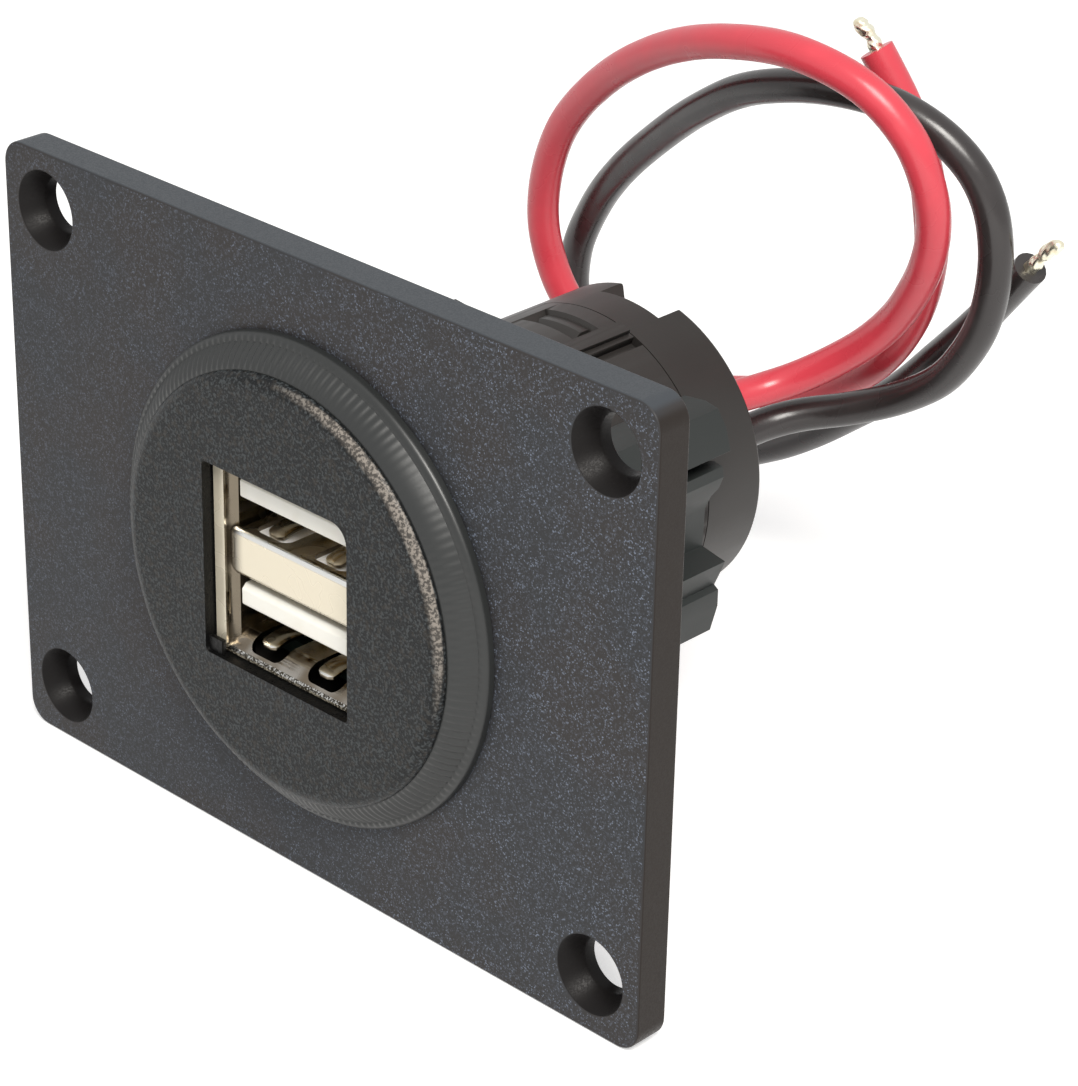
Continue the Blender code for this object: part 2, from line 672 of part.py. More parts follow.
def make_clamp_nut(parent, material):
    ring = rod(NUT_RADIUS, NUT_FRONT, NUT_FRONT + NUT_FRONT_LENGTH, steps=FINE_STEPS)
    nut = add_object("clamp_nut", ring, material, parent)
    core = NUT_BORE / 2
    outline = [polar(NUT_SLEEVE_RADIUS + height, angle) for angle, height in GRIP_OUTLINE]
    outline += arc_points(core, GRIP_OUTLINE[-1][0], GRIP_OUTLINE[0][0])
    start = NUT_FRONT + SEAT_GAP
    boolean(nut, "right_grip_shape", prism(outline, start, NUT_BACK), parent, "UNION")
    boolean(nut, "left_grip_shape", opposite(prism(outline, start, NUT_BACK)), parent, "UNION")
    bore = rod(NUT_BORE, NUT_FRONT - NUT_FRONT_LENGTH, NUT_BACK + NUT_FRONT_LENGTH, steps=FINE_STEPS)
    boolean(nut, "nut_bore_cutter", bore, parent)


def rectangle(x_range, z_range, y):
    (left, right), (bottom, top) = x_range, z_range
    return [(left, y, bottom), (right, y, bottom), (right, y, top), (left, y, top)]


def make_usb_shell(parent, material):
    lip_top = CAP_WINDOW_CENTRE_Z + CAP_WINDOW_HEIGHT / 2 - SHELL_LIP_GAP
    outer = PORT_WIDTH / 2 + SHELL_WALL
    inner = PORT_WIDTH / 2
    mouth = LIP_OPENING_WIDTH / 2
    lip_back = SHELL_FACE + SHELL_LIP_THICKNESS
    body_front = CAP_BACK + SEAT_GAP
    body = box((-outer, outer), (body_front, SHELL_BACK),
               (SHELL_INNER_BOTTOM - SHELL_WALL, SHELL_INNER_TOP + SHELL_WALL))
    shell = add_object("usb_shell", body, material, parent)
    boolean(shell, "shell_lip_shape", prism(window_outline(SHELL_LIP_GAP), SHELL_FACE, lip_back), parent, "UNION")
    neck_half_width = mouth + SHELL_WALL / 4
    neck_bottom = SHELL_INNER_BOTTOM - SHELL_WALL - LIP_OPENING_MARGIN / 2
    neck = box((-neck_half_width, neck_half_width), (lip_back - SHELL_WALL / 2, body_front + SHELL_WALL / 2),
               (neck_bottom, lip_top - SHELL_WALL / 8))
    boolean(shell, "shell_neck_shape", neck, parent, "UNION")
    mouth_z = (SHELL_INNER_BOTTOM - LIP_OPENING_MARGIN, lip_top - SHELL_WALL)
    inner_z = (SHELL_INNER_BOTTOM, SHELL_INNER_TOP)
    cavity = (
        rectangle((-mouth, mouth), mouth_z, SHELL_FACE - SHELL_LIP_FLARE),
        rectangle((-mouth, mouth), mouth_z, SHELL_FACE),
        rectangle((-inner, inner), inner_z, SHELL_FACE + SHELL_LIP_FLARE),
        rectangle((-inner, inner), inner_z, SHELL_BACK + SHELL_LIP_FLARE),
    )
    boolean(shell, "shell_cavity_cutter", loft(cavity), parent)
    for side, label in ((-1, "left"), (1, "right")):
        cutter = floor_spring_slot(side * FLOOR_SLOT_OFFSET, SHELL_INNER_BOTTOM - SHELL_WALL / 2)
        boolean(shell, "floor_slot_cutter_" + label, cutter, parent)


def floor_spring_slot(x, z):
    """A U-shaped slot that frees a spring finger in the floor of a port."""
    half = FLOOR_SLOT_WIDTH / 2
    front = SHELL_FACE + FLOOR_SLOT_FRONT
    back = front + FLOOR_SLOT_LENGTH
    inner = half - FLOOR_SLOT_CUT
    outline = (
        (x - half, back),
        (x - half, front),
        (x + half, front),
        (x + half, back),
        (x + inner, back),
        (x + inner, front + FLOOR_SLOT_CUT),
        (x - inner, front + FLOOR_SLOT_CUT),
        (x - inner, back),
    )
    return extruded([(px, py, z - SHELL_WALL) for px, py in outline], (0.0, 0.0, 2 * SHELL_WALL))


def make_port_divider(parent, material):
    half = PORT_WIDTH / 2 - CONTACT_GAP
    front = SHELL_FACE + DIVIDER_SET_BACK
    back = SHELL_BACK - SHELL_WALL
    roll = DIVIDER_ROLL
    outline = [
        (back, DIVIDER_TOP),
        (front + roll, DIVIDER_TOP),
        (front + roll * ARC_MIDDLE, DIVIDER_TOP - roll * ARC_MIDDLE),
        (front, DIVIDER_TOP - roll),
        (front, DIVIDER_BOTTOM + roll),
        (front + roll * ARC_MIDDLE, DIVIDER_BOTTOM + roll * ARC_MIDDLE),
        (front + roll, DIVIDER_BOTTOM),
        (back, DIVIDER_BOTTOM),
        (back, DIVIDER_BOTTOM + SHELL_WALL),
        (front + roll + SHELL_WALL, DIVIDER_BOTTOM + SHELL_WALL),
        (front + roll + SHELL_WALL, DIVIDER_TOP - SHELL_WALL),
        (back, DIVIDER_TOP - SHELL_WALL),
    ]
    sheet = extruded([(-half, y, z) for y, z in outline], (2 * half, 0.0, 0.0))
    divider = add_object("port_divider", sheet, material, parent)
    for side, label in ((-1, "left"), (1, "right")):
        cutter = floor_spring_slot(side * FLOOR_SLOT_OFFSET, DIVIDER_TOP - SHELL_WALL / 2)
        boolean(divider, "divider_slot_cutter_" + label, cutter, parent)


def make_tongue(name, port_centre, parent, material):
    """The tongue of one port, with the block behind it that fills the back of the port."""
    front = SHELL_FACE + TONGUE_SET_BACK
    root = front + TONGUE_LENGTH
    top = port_centre + PORT_HEIGHT / 2 - TONGUE_TOP_GAP
    bottom = top - TONGUE_THICKNESS
    block_half_height = PORT_HEIGHT / 2 - CONTACT_GAP
    half = TONGUE_WIDTH / 2
    outline = [
        (front + TONGUE_CHAMFER, top),
        (front, top - TONGUE_CHAMFER),
        (front, bottom + TONGUE_CHAMFER / 2),
        (front + TONGUE_CHAMFER / 2, bottom),
        (root + SHELL_WALL, bottom),
        (root + SHELL_WALL, top),
    ]
    blade = extruded([(-half, y, z - port_centre) for y, z in outline], (2 * half, 0.0, 0.0))
    tongue = add_object(name, blade, material, parent, (0.0, 0.0, port_centre))
    block_half_width = PORT_WIDTH / 2 - CONTACT_GAP
    block = box(
        (-block_half_width, block_half_width),
        (root, SHELL_BACK - SHELL_WALL),
        (port_centre - block_half_height, port_centre + block_half_height),
    )
    boolean(tongue, name + "_block_shape", block, parent, "UNION")
    for index, x in enumerate(CONTACT_OFFSETS):
        slot = box(
            centred(x, CONTACT_WIDTH + 2 * CONTACT_GAP),
            (front + CONTACT_FRONT_LAND - CONTACT_GAP, SHELL_BACK + SHELL_WALL),
            (bottom - CONTACT_THICKNESS - CONTACT_GAP, bottom + CONTACT_THICKNESS / 2 + CONTACT_GAP),
        )
        boolean(tongue, f"{name}_contact_slot_cutter_{index + 1}", slot, parent)


def contact_depth(row):
    """How far back the upright pins of a row of contacts stand."""
    return SHELL_BACK + SLIDING_GAP + (row + 0.5) * CONTACT_PIN_SPACING


def make_contacts(name, port_centre, row, parent, material):
    front = SHELL_FACE + TONGUE_SET_BACK + CONTACT_FRONT_LAND
    bottom = port_centre + PORT_HEIGHT / 2 - TONGUE_TOP_GAP - TONGUE_THICKNESS
    pin = contact_depth(row)
    half = CONTACT_THICKNESS / 2
    foot = BOARD_TOP + SEAT_GAP
    outline = (
        (front, bottom + half),
        (front, bottom - half),
        (pin - half, bottom - half),
        (pin - half, foot),
        (pin + half, foot),
        (pin + half, bottom + half),
    )
    for index, x in enumerate(CONTACT_OFFSETS):
        strip = extruded([(-CONTACT_WIDTH / 2, y, z) for y, z in outline], (CONTACT_WIDTH, 0.0, 0.0))
        add_object(f"{name}_{index + 1}", strip, material, parent, (x, 0.0, 0.0))


def make_pin_spacer(parent, material):
    bottom = BOARD_TOP + SLIDING_GAP
    spacer = add_object(
        "pin_spacer",
        box(centred(0.0, PORT_WIDTH), (SPACER_FRONT, SPACER_BACK), (bottom, bottom + SPACER_HEIGHT)),
        material,
        parent,
    )
    for row in range(2):
        for index, x in enumerate(CONTACT_OFFSETS):
            slot = box(
                centred(x, CONTACT_WIDTH + 2 * CONTACT_GAP),
                centred(contact_depth(row), CONTACT_THICKNESS + 2 * CONTACT_GAP),
                (bottom - SPACER_HEIGHT / 2, bottom + SPACER_HEIGHT * 1.5),
            )
            boolean(spacer, f"spacer_slot_cutter_{row + 1}_{index + 1}", slot, parent)


def make_board(parent, material):
    board = box(centred(0.0, BOARD_WIDTH), (BOARD_FRONT, BOARD_BACK), (BOARD_BOTTOM, BOARD_TOP))
    add_object("circuit_board", board, material, parent)


def standing_can(radius, height):
    """An upright cylinder that stands on the plane z = 0, with a rounded top edge."""
    bm = bmesh.new()
    bmesh.ops.create_cone(
        bm, cap_ends=True, segments=SMALL_STEPS, radius1=radius, radius2=radius, depth=height,
        matrix=Matrix.Translation((0.0, 0.0, height / 2)),
    )
    top = [edge for edge in bm.edges if all(vert.co.z > height / 2 for vert in edge.verts)]
    bmesh.ops.bevel(bm, geom=top, offset=CAPACITOR_EDGE, segments=2, affect="EDGES")
    return bm


def make_electronics(parent, ferrite, can, epoxy):
    seat = BOARD_TOP + SEAT_GAP
    under = BOARD_BOTTOM - SEAT_GAP
    side = INDUCTOR_SIDE
    bm = box(centred(0.0, side), centred(0.0, side), (0.0, INDUCTOR_HEIGHT))
    upright = [edge for edge in bm.edges if abs(edge.verts[0].co.z - edge.verts[1].co.z) > INDUCTOR_HEIGHT / 2]
    bmesh.ops.bevel(bm, geom=upright, offset=INDUCTOR_CORNER, segments=2, affect="EDGES")
    add_object("inductor", bm, ferrite, parent, (INDUCTOR_X, INDUCTOR_Y, seat))
    for name, y in (("input_capacitor", INPUT_CAPACITOR_Y), ("output_capacitor", OUTPUT_CAPACITOR_Y)):
        bm = standing_can(CAPACITOR_RADIUS, CAPACITOR_HEIGHT)
        add_object(name, bm, can, parent, (CAPACITOR_X, y, seat))
    for name, (width, length, height), y in (
        ("controller_chip", CHIP_SIZE, CHIP_PLACE_Y),
        ("diode", DIODE_SIZE, DIODE_Y),
    ):
        bm = box(centred(0.0, width), centred(0.0, length), (-height, 0.0))
        add_object(name, bm, epoxy, parent, (0.0, y, under))


def make_grommet(parent, material):
    neck_width = GROMMET_WIDTH - 2 * SEAT_GAP
    back = REAR_WALL_BACK + SEAT_GAP
    grommet = add_object(
        "lead_grommet", stadium(neck_width, REAR_WALL_FRONT, back + GROMMET_FLANGE_THICKNESS), material, parent
    )
    flange = stadium(GROMMET_WIDTH + 2 * GROMMET_FLANGE_LIP, back, back + GROMMET_FLANGE_THICKNESS)
    boolean(grommet, "grommet_flange_shape", flange, parent, "UNION")
    radius = LEAD_DIAMETER / 2 + LEAD_HOLE_CLEARANCE
    for label, side in (("red", 1), ("black", -1)):
        centre = (0.0, LEAD_PAIR_CENTRE_Z + side * LEAD_PITCH / 2)
        hole = rod(radius, REAR_WALL_FRONT - REAR_END_WALL, back + 2 * GROMMET_FLANGE_THICKNESS, centre)
        boolean(grommet, "grommet_hole_cutter_" + label, hole, parent)


def smooth_curve(route, steps=12):
    """A centripetal Catmull-Rom curve through the route's points."""
    points = [Vector(point) for point in route]
    points = [2 * points[0] - points[1], *points, 2 * points[-1] - points[-2]]
    found = []
    for a, b, c, d in zip(points, points[1:], points[2:], points[3:]):
        first = (b - a).length ** 0.5
        second = first + (c - b).length ** 0.5
        third = second + (d - c).length ** 0.5
        for step in range(steps):
            t = first + (second - first) * step / steps
            low = a.lerp(b, t / first)
            middle = b.lerp(c, (t - first) / (second - first))
            high = c.lerp(d, (t - second) / (third - second))
            left = low.lerp(middle, t / second)
            right = middle.lerp(high, (t - first) / (third - first))
            found.append(left.lerp(right, (t - first) / (second - first)))
    found.append(points[-2])
    return found


def evenly_spaced(points, spacing):
    """Points at equal distances along a finely divided line, ends included."""
    lengths = [0.0]
    for a, b in zip(points, points[1:]):
        lengths.append(lengths[-1] + (b - a).length)
    count = max(2, round(lengths[-1] / spacing))
    found = []
    index = 0
    for step in range(count + 1):
        wanted = lengths[-1] * step / count
        while index < len(points) - 2 and lengths[index + 1] < wanted:
            index += 1
        share = (wanted - lengths[index]) / (lengths[index + 1] - lengths[index])
        found.append(points[index].lerp(points[index + 1], share))
    return found


def make_tube(name, points, diameter, material, parent):
    curve = bpy.data.curves.new(name, "CURVE")
    curve.dimensions = "3D"
    curve.bevel_depth = diameter / 2
    curve.bevel_resolution = 2
    curve.use_fill_caps = True
    spline = curve.splines.new("POLY")
    spline.points.add(len(points) - 1)
    for target, point in zip(spline.points, points):
        target.co = (*point, 1.0)
    curve.materials.append(material)
    tube = bpy.data.objects.new(name, curve)
    tube.parent = parent
    bpy.context.scene.collection.objects.link(tube)


def make_leads(parent, red, black, tin):
    for colour, route, bend, material in (
        ("red", RED_LEAD_ROUTE, RED_TIP_BEND, red),
        ("black", BLACK_LEAD_ROUTE, BLACK_TIP_BEND, black),
    ):
        points = evenly_spaced(smooth_curve(route), LEAD_POINT_SPACING)
        make_tube(colour + "_lead", points, LEAD_DIAMETER, material, parent)
        end = points[-1]
        heading = (end - points[-2]).normalized()
        start = end + heading * TIP_GAP
        tip = [start] + [start + Vector(offset) for offset in bend]
        tip_points = evenly_spaced(smooth_curve(tip), TIP_DIAMETER / 2)
        make_tube(colour + "_lead_tip", tip_points, TIP_DIAMETER, tin, parent)


def main():
    clear_scene()
    frame = bpy.data.objects.new("socket_frame", None)
    bpy.context.scene.collection.objects.link(frame)
    plate_black = make_material("speckled_black_plate", (0.028, 0.030, 0.034), 0.45)
    body_black = make_material("black_body_plastic", (0.030, 0.027, 0.025), 0.42)
    cap_black = make_material("grained_black_plastic", (0.022, 0.023, 0.024), 0.55)
    ring_black = make_material("glossy_black_plastic", (0.020, 0.024, 0.025), 0.28)
    nut_grey = make_material("dark_grey_plastic", (0.060, 0.072, 0.068), 0.5)
    nickel = make_material("nickel_plated_steel", (0.66, 0.60, 0.50), 0.28, 1.0)
    white = make_material("white_insulator", (0.80, 0.79, 0.74), 0.4)
    gold = make_material("gold_plated_contact", (0.85, 0.62, 0.28), 0.25, 1.0)
    board_green = make_material("circuit_board_green", (0.02, 0.12, 0.05), 0.4)
    ferrite = make_material("dark_ferrite", (0.06, 0.06, 0.06), 0.6)
    can = make_material("aluminium_can", (0.7, 0.7, 0.72), 0.3, 1.0)
    epoxy = make_material("black_epoxy", (0.02, 0.02, 0.02), 0.5)
    rubber = make_material("black_rubber", (0.025, 0.025, 0.025), 0.7)
    red = make_material("red_lead_jacket", (0.62, 0.07, 0.07), 0.35)
    black = make_material("black_lead_jacket", (0.03, 0.027, 0.025), 0.35)
    tin = make_material("tinned_copper", (0.80, 0.78, 0.66), 0.25, 1.0)

    make_plate(frame, plate_black)
    make_socket_body(frame, body_black)
    make_bezel_ring(frame, ring_black)
    make_face_cap(frame, cap_black)
    make_rear_cap(frame, body_black)
    make_clamp_nut(frame, nut_grey)
    make_usb_shell(frame, nickel)
    make_port_divider(frame, nickel)
    make_tongue("upper_tongue", UPPER_PORT_CENTRE_Z, frame, white)
    make_tongue("lower_tongue", LOWER_PORT_CENTRE_Z, frame, white)
    make_contacts("upper_contact", UPPER_PORT_CENTRE_Z, 1, frame, gold)
    make_contacts("lower_contact", LOWER_PORT_CENTRE_Z, 0, frame, gold)
    make_pin_spacer(frame, white)
    make_board(frame, board_green)
    make_electronics(frame, ferrite, can, epoxy)
    make_grommet(frame, rubber)
    make_leads(frame, red, black, tin)


main()
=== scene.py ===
"""Panel-mounted dual USB power socket: smooth pieces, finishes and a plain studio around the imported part."""

import math

import bmesh
import bpy
from bpy.props import FloatProperty, FloatVectorProperty, IntProperty, PointerProperty
from mathutils import Matrix, Vector


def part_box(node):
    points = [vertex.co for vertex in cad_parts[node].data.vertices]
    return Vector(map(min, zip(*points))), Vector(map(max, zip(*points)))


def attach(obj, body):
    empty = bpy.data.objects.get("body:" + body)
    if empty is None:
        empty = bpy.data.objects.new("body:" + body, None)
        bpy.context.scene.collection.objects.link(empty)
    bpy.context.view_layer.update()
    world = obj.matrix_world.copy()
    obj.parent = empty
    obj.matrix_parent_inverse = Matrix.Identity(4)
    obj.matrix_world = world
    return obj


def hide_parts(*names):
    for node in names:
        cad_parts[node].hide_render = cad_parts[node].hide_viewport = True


bl_info = {
    "name": "Panel USB Power Socket",
    "version": (1, 0, 0),
    "blender": (4, 5, 0),
    "location": "View3D > Sidebar > Power Socket",
    "description": "Builds the smooth pieces, finishes and studio of a panel-mounted USB power socket",
    "category": "Object",
}

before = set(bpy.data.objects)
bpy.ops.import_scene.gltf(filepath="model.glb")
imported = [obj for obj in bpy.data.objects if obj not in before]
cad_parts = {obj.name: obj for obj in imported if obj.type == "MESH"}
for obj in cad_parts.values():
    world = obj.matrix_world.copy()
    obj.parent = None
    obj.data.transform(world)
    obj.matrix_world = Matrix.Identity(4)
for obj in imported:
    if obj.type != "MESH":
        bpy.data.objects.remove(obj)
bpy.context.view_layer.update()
PLATE_LOW, PLATE_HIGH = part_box("mounting_plate")
PLATE_FRONT = PLATE_LOW[1]
PLATE_THICKNESS = PLATE_HIGH[1] - PLATE_LOW[1]
SEAT_GAP = 0.0001
SLIDING_GAP = 0.0003

BARREL_RADIUS = 0.0128
BARREL_BORE = 0.0113
BARREL_LENGTH = 0.0270
FLANGE_RADIUS = 0.0160
FLANGE_BACK = PLATE_FRONT - SEAT_GAP
FLANGE_FRONT = FLANGE_BACK - 0.0011
SNAP_ANGLES = (79.0, 105.0)
SNAP_DEPTHS = (0.0223, 0.0252)
RIB_ANGLES = (71.5, 77.0)
GROOVE_ANGLES = (65.0, 69.5)
GROOVE_FRONT = 0.0120
RIB_FRONT = 0.0180
THREAD_FRONT = 0.0065
THREAD_BACK = 0.0172

CAP_FRONT = PLATE_FRONT - 0.0032
CAP_EDGE = CAP_FRONT + 0.0007
CAP_BACK = FLANGE_FRONT - SEAT_GAP
CAP_RADIUS = 0.0170
CAP_EDGE_WIDTH = 0.0012
WINDOW_LEFT = -0.00805
WINDOW_RIGHT = 0.0075
WINDOW_WIDTH = WINDOW_RIGHT - WINDOW_LEFT
WINDOW_HEIGHT = 0.0160
WINDOW_CENTRE = ((WINDOW_LEFT + WINDOW_RIGHT) / 2, 0.0002)
WINDOW_CORNER = 0.0004
WINDOW_BIG_CORNER = 0.0016
WINDOW_STEP = 0.0010

REAR_RIM = 0.0332
REAR_WALL_BACK = 0.0305
REAR_WALL_FRONT = 0.0289
SPIGOT_RADIUS = BARREL_BORE - SLIDING_GAP
NOTCH_ANGLES = (73.0, 101.0)

NUT_RADIUS = 0.0166
NUT_BORE = BARREL_RADIUS + SLIDING_GAP
NUT_FRONT = 0.0003
NUT_RING_BACK = 0.0063
NUT_BACK = 0.0254
NUT_SLEEVE = 0.0139
# The angle and radius of each corner of a grip wing
GRIP_OUTLINE = (
    (-41.0, 0.0150), (-37.0, 0.0167), (-31.0, 0.0174), (-23.0, 0.0169), (-18.5, 0.0164), (-18.0, 0.0159),
    (-13.0, 0.0161), (-9.0, 0.0163), (-8.6, NUT_SLEEVE), (5.0, NUT_SLEEVE), (9.5, 0.0146), (12.5, 0.0155),
    (16.0, 0.0162), (19.0, 0.0163), (20.5, 0.0155), (21.0, 0.0144), (22.0, 0.0144), (23.0, 0.0175),
    (29.0, 0.0178), (34.0, 0.0177), (37.0, 0.0168), (41.0, 0.0150),
)

SHELL_FACE = CAP_FRONT + 0.0010
SHELL_BACK = SHELL_FACE + 0.0172
SHELL_WALL = 0.0004
LIP_GAP = 0.00015
PORT_WIDTH = 0.0125
PORT_HEIGHT = 0.00512
UPPER_PORT_Z = 0.00541
LOWER_PORT_Z = -0.00359
INNER_TOP = UPPER_PORT_Z + PORT_HEIGHT / 2
INNER_BOTTOM = LOWER_PORT_Z - PORT_HEIGHT / 2
DIVIDER_TOP = UPPER_PORT_Z - PORT_HEIGHT / 2
DIVIDER_BOTTOM = LOWER_PORT_Z + PORT_HEIGHT / 2
DIVIDER_FRONT = SHELL_FACE + 0.00025
DIVIDER_ROLL = 0.0006
MOUTH_LEFT = 0.0068
MOUTH_RIGHT = 0.0072
MOUTH_DROP = 0.0013
MOUTH_DEPTH = 0.0020
TONGUE_WIDTH = 0.0111
TONGUE_THICKNESS = 0.00184
TONGUE_TOP_GAP = 0.00067
TONGUE_LENGTH = 0.0092
TONGUE_PAST_RIGHT = 0.0003
CONTACT_PLACES = (-0.0035, -0.0010, 0.0010, 0.0035)
FINGER_OFFSET = 0.0031
LOWER_SLOT_FRONT = SHELL_FACE + 0.0004
UPPER_SLOT_FRONT = SHELL_FACE + 0.0012
SLOT_LENGTH = 0.0050

LEAD_PITCH = 0.0046
LEAD_PAIR_Z = -0.0017
LEAD_CLEARANCE = 0.00004
GROMMET_COLLAR = 0.0012
# Points along the middle of each lead, in tenths of a millimetre
ROUTE_UNIT = 0.0001
RED_LEAD_ROUTE = (
    (0, 302, 6), (0, 345, 6), (2, 390, 5), (25, 454, 11), (45, 475, 22), (73, 491, 43), (98, 496, 65),
    (123, 495, 93), (147, 486, 127), (165, 476, 159), (176, 466, 192), (178, 456, 225), (165, 442, 270),
    (131, 430, 303), (70, 421, 319), (-4, 425, 309), (-96, 447, 273), (-184, 472, 215), (-243, 488, 152),
    (-270, 498, 88), (-273, 505, 38), (-254, 515, -16), (-210, 529, -56), (-156, 541, -72),
    (-40, 554, -45), (23, 549, -16), (69, 543, 19), (103, 537, 63), (120, 533, 101), (129, 528, 144),
    (128, 524, 179), (122, 520, 216), (105, 513, 261), (91, 508, 286), (79, 504, 305),
)
BLACK_LEAD_ROUTE = (
    (0, 302, -40), (0, 345, -40), (2, 390, -39), (20, 464, -26), (38, 487, -19), (72, 510, -9),
    (112, 523, 10), (150, 524, 38), (174, 520, 67), (196, 513, 105), (208, 506, 145), (210, 502, 180),
    (204, 498, 212), (191, 493, 237), (169, 486, 258), (141, 478, 273), (111, 472, 280), (65, 466, 279),
    (14, 467, 267), (-33, 474, 248), (-86, 487, 215), (-144, 505, 171), (-205, 524, 117),
    (-248, 539, 67), (-278, 550, 13), (-287, 560, -39), (-266, 574, -102), (-209, 585, -143),
    (-122, 589, -141), (-76, 589, -121), (-30, 586, -92), (15, 582, -58), (71, 576, -12), (116, 567, 35),
    (161, 557, 84), (193, 549, 123), (215, 544, 150),
)
RED_TIP_BEND = ((-0.0004, -0.0001, 0.0008), (-0.0011, -0.0004, 0.0015), (-0.0014, -0.0005, 0.0021))
BLACK_TIP_BEND = ((0.0008, -0.0002, 0.0009), (0.0019, -0.0005, 0.0021), (0.0031, -0.0008, 0.0030))

EYE = Vector((0.17395839, -0.16196623, 0.12416259))
VIEW_RIGHT = Vector((0.71877526, 0.69496205, 0.01974528))
VIEW_UP = Vector((-0.33000246, 0.31603753, 0.88950472))
VIEW_BACK = Vector((0.61193178, -0.64586998, 0.45649915))
SENSOR = 36.0
FOCAL_LENGTH = 119.34
LAMP_PLACE = Vector((0.27, -0.19, 0.37))
LAMP_TARGET = Vector((0.0, 0.01, 0.0))
LAMP_SIZE = 0.2
LAMP_TONE = (1.0, 0.97, 0.92)
FLOOR_GLOW = 0.45

AHEAD = (0.0, -1.0, 0.0)
UP = (0.0, 0.0, 1.0)
RIGHT = (1.0, 0.0, 0.0)
CUT = "DIFFERENCE"
JOIN = "UNION"


# Shapes


def polar(radius, degrees):
    """The (x, z) point at an angle from +X towards +Z."""
    angle = math.radians(degrees)
    return (radius * math.cos(angle), radius * math.sin(angle))


def arc_points(radius, start, end, step=1.5):
    count = max(2, math.ceil(abs(end - start) / step))
    return [polar(radius, start + (end - start) * i / count) for i in range(count + 1)]


def at_depth(outline, y):
    return [(x, y, z) for x, z in outline]


def extruded(points, vector):
    bm = bmesh.new()
    face = bm.faces.new([bm.verts.new(point) for point in points])
    grown = bmesh.ops.extrude_face_region(bm, geom=[face])
    moved = [item for item in grown["geom"] if isinstance(item, bmesh.types.BMVert)]
    bmesh.ops.translate(bm, verts=moved, vec=vector)
    return bm


def prism(outline, front, back):
    return extruded(at_depth(outline, front), (0.0, back - front, 0.0))


def box(x_range, y_range, z_range):
    bm = bmesh.new()
    bmesh.ops.create_cube(bm, size=1.0)
    for vert in bm.verts:
        for axis, (low, high) in enumerate((x_range, y_range, z_range)):
            vert.co[axis] = low if vert.co[axis] < 0 else high
    return bm


def loft(sections, closed=False):
    """Joins loops of points by faces. A closed loft runs back to its first loop. An open one is capped."""
    bm = bmesh.new()
    loops = [[bm.verts.new(point) for point in section] for section in sections]
    pairs = list(zip(loops, loops[1:]))
    if closed:
        pairs.append((loops[-1], loops[0]))
    for first, second in pairs:
        count = len(first)
        for i in range(count):
            j = (i + 1) % count
            bm.faces.new((first[i], first[j], second[j], second[i]))
    if not closed:
        bm.faces.new(loops[0])
        bm.faces.new(loops[-1])
    return bm


def round_bar(levels, centre=(0.0, 0.0), steps=64):
    """A round solid along Y through the given (y, radius) levels."""
    sections = []
    for y, radius in levels:
        ring = [polar(radius, 360.0 * i / steps) for i in range(steps)]
        sections.append([(centre[0] + x, y, centre[1] + z) for x, z in ring])
    return loft(sections)


def turned(profile, steps=192):
    """Turns a closed (radius, y) profile about the Y axis. A radius may be a function of the angle."""
    sections = []
    for radius, y in profile:
        turns = [360.0 * i / steps for i in range(steps)]
        outline = [polar(radius(turn) if callable(radius) else radius, turn) for turn in turns]
        sections.append(at_depth(outline, y))
    return loft(sections, closed=True)


def arc_block(inner, outer, angles, front, back):
    outline = arc_points(outer, *angles) + arc_points(inner, *reversed(angles))
    return prism(outline, front, back)


def rounded_rectangle(width, height, corners, centre=(0.0, 0.0), corner_steps=10):
    """(x, z) points of a rectangle whose corner radii are given from top right, anticlockwise."""
    points = []
    signs = ((1, 1), (-1, 1), (-1, -1), (1, -1))
    for index, ((sign_x, sign_z), radius) in enumerate(zip(signs, corners)):
        middle_x = centre[0] + sign_x * (width / 2 - radius)
        middle_z = centre[1] + sign_z * (height / 2 - radius)
        for step in range(corner_steps + 1):
            x, z = polar(radius, 90.0 * (index + step / corner_steps))
            points.append((middle_x + x, middle_z + z))
    return points


def opposite(bm):
    """Turns a solid half a turn about the socket's axis."""
    bmesh.ops.rotate(bm, verts=bm.verts, cent=(0, 0, 0), matrix=Matrix.Rotation(math.pi, 3, "Y"))
    return bm


def rounding(size, steps):
    """Distances from a corner, along the side that a rounding comes in by and the side that it leaves by."""
    angles = [math.pi / 2 * step / steps for step in range(steps + 1)]
    return [(size * (1 - math.sin(angle)), size * (1 - math.cos(angle))) for angle in angles]


def quarter_round(corner, out, back, size):
    """Points that round a corner of a (radius, y) profile.

    out and back point away from the corner, along the side it comes in by and the side it leaves by.
    """
    (x, y), found = corner, []
    for near, far in rounding(size, 4):
        found.append((x + out[0] * near + back[0] * far, y + out[1] * near + back[1] * far))
    return found


def smooth_curve(route, steps=16):
    """A centripetal Catmull-Rom curve through the route's points."""
    points = [Vector(point) for point in route]
    points = [2 * points[0] - points[1], *points, 2 * points[-1] - points[-2]]
    found = []
    for a, b, c, d in zip(points, points[1:], points[2:], points[3:]):
        first = (b - a).length ** 0.5
        second = first + (c - b).length ** 0.5
        third = second + (d - c).length ** 0.5
        for step in range(steps):
            t = first + (second - first) * step / steps
            low = a.lerp(b, t / first)
            middle = b.lerp(c, (t - first) / (second - first))
            high = c.lerp(d, (t - second) / (third - second))
            left = low.lerp(middle, t / second)
            right = middle.lerp(high, (t - first) / (third - first))
            found.append(left.lerp(right, (t - first) / (second - first)))
    found.append(points[-2])
    return found


def line_length(points):
    return sum((b - a).length for a, b in zip(points, points[1:]))


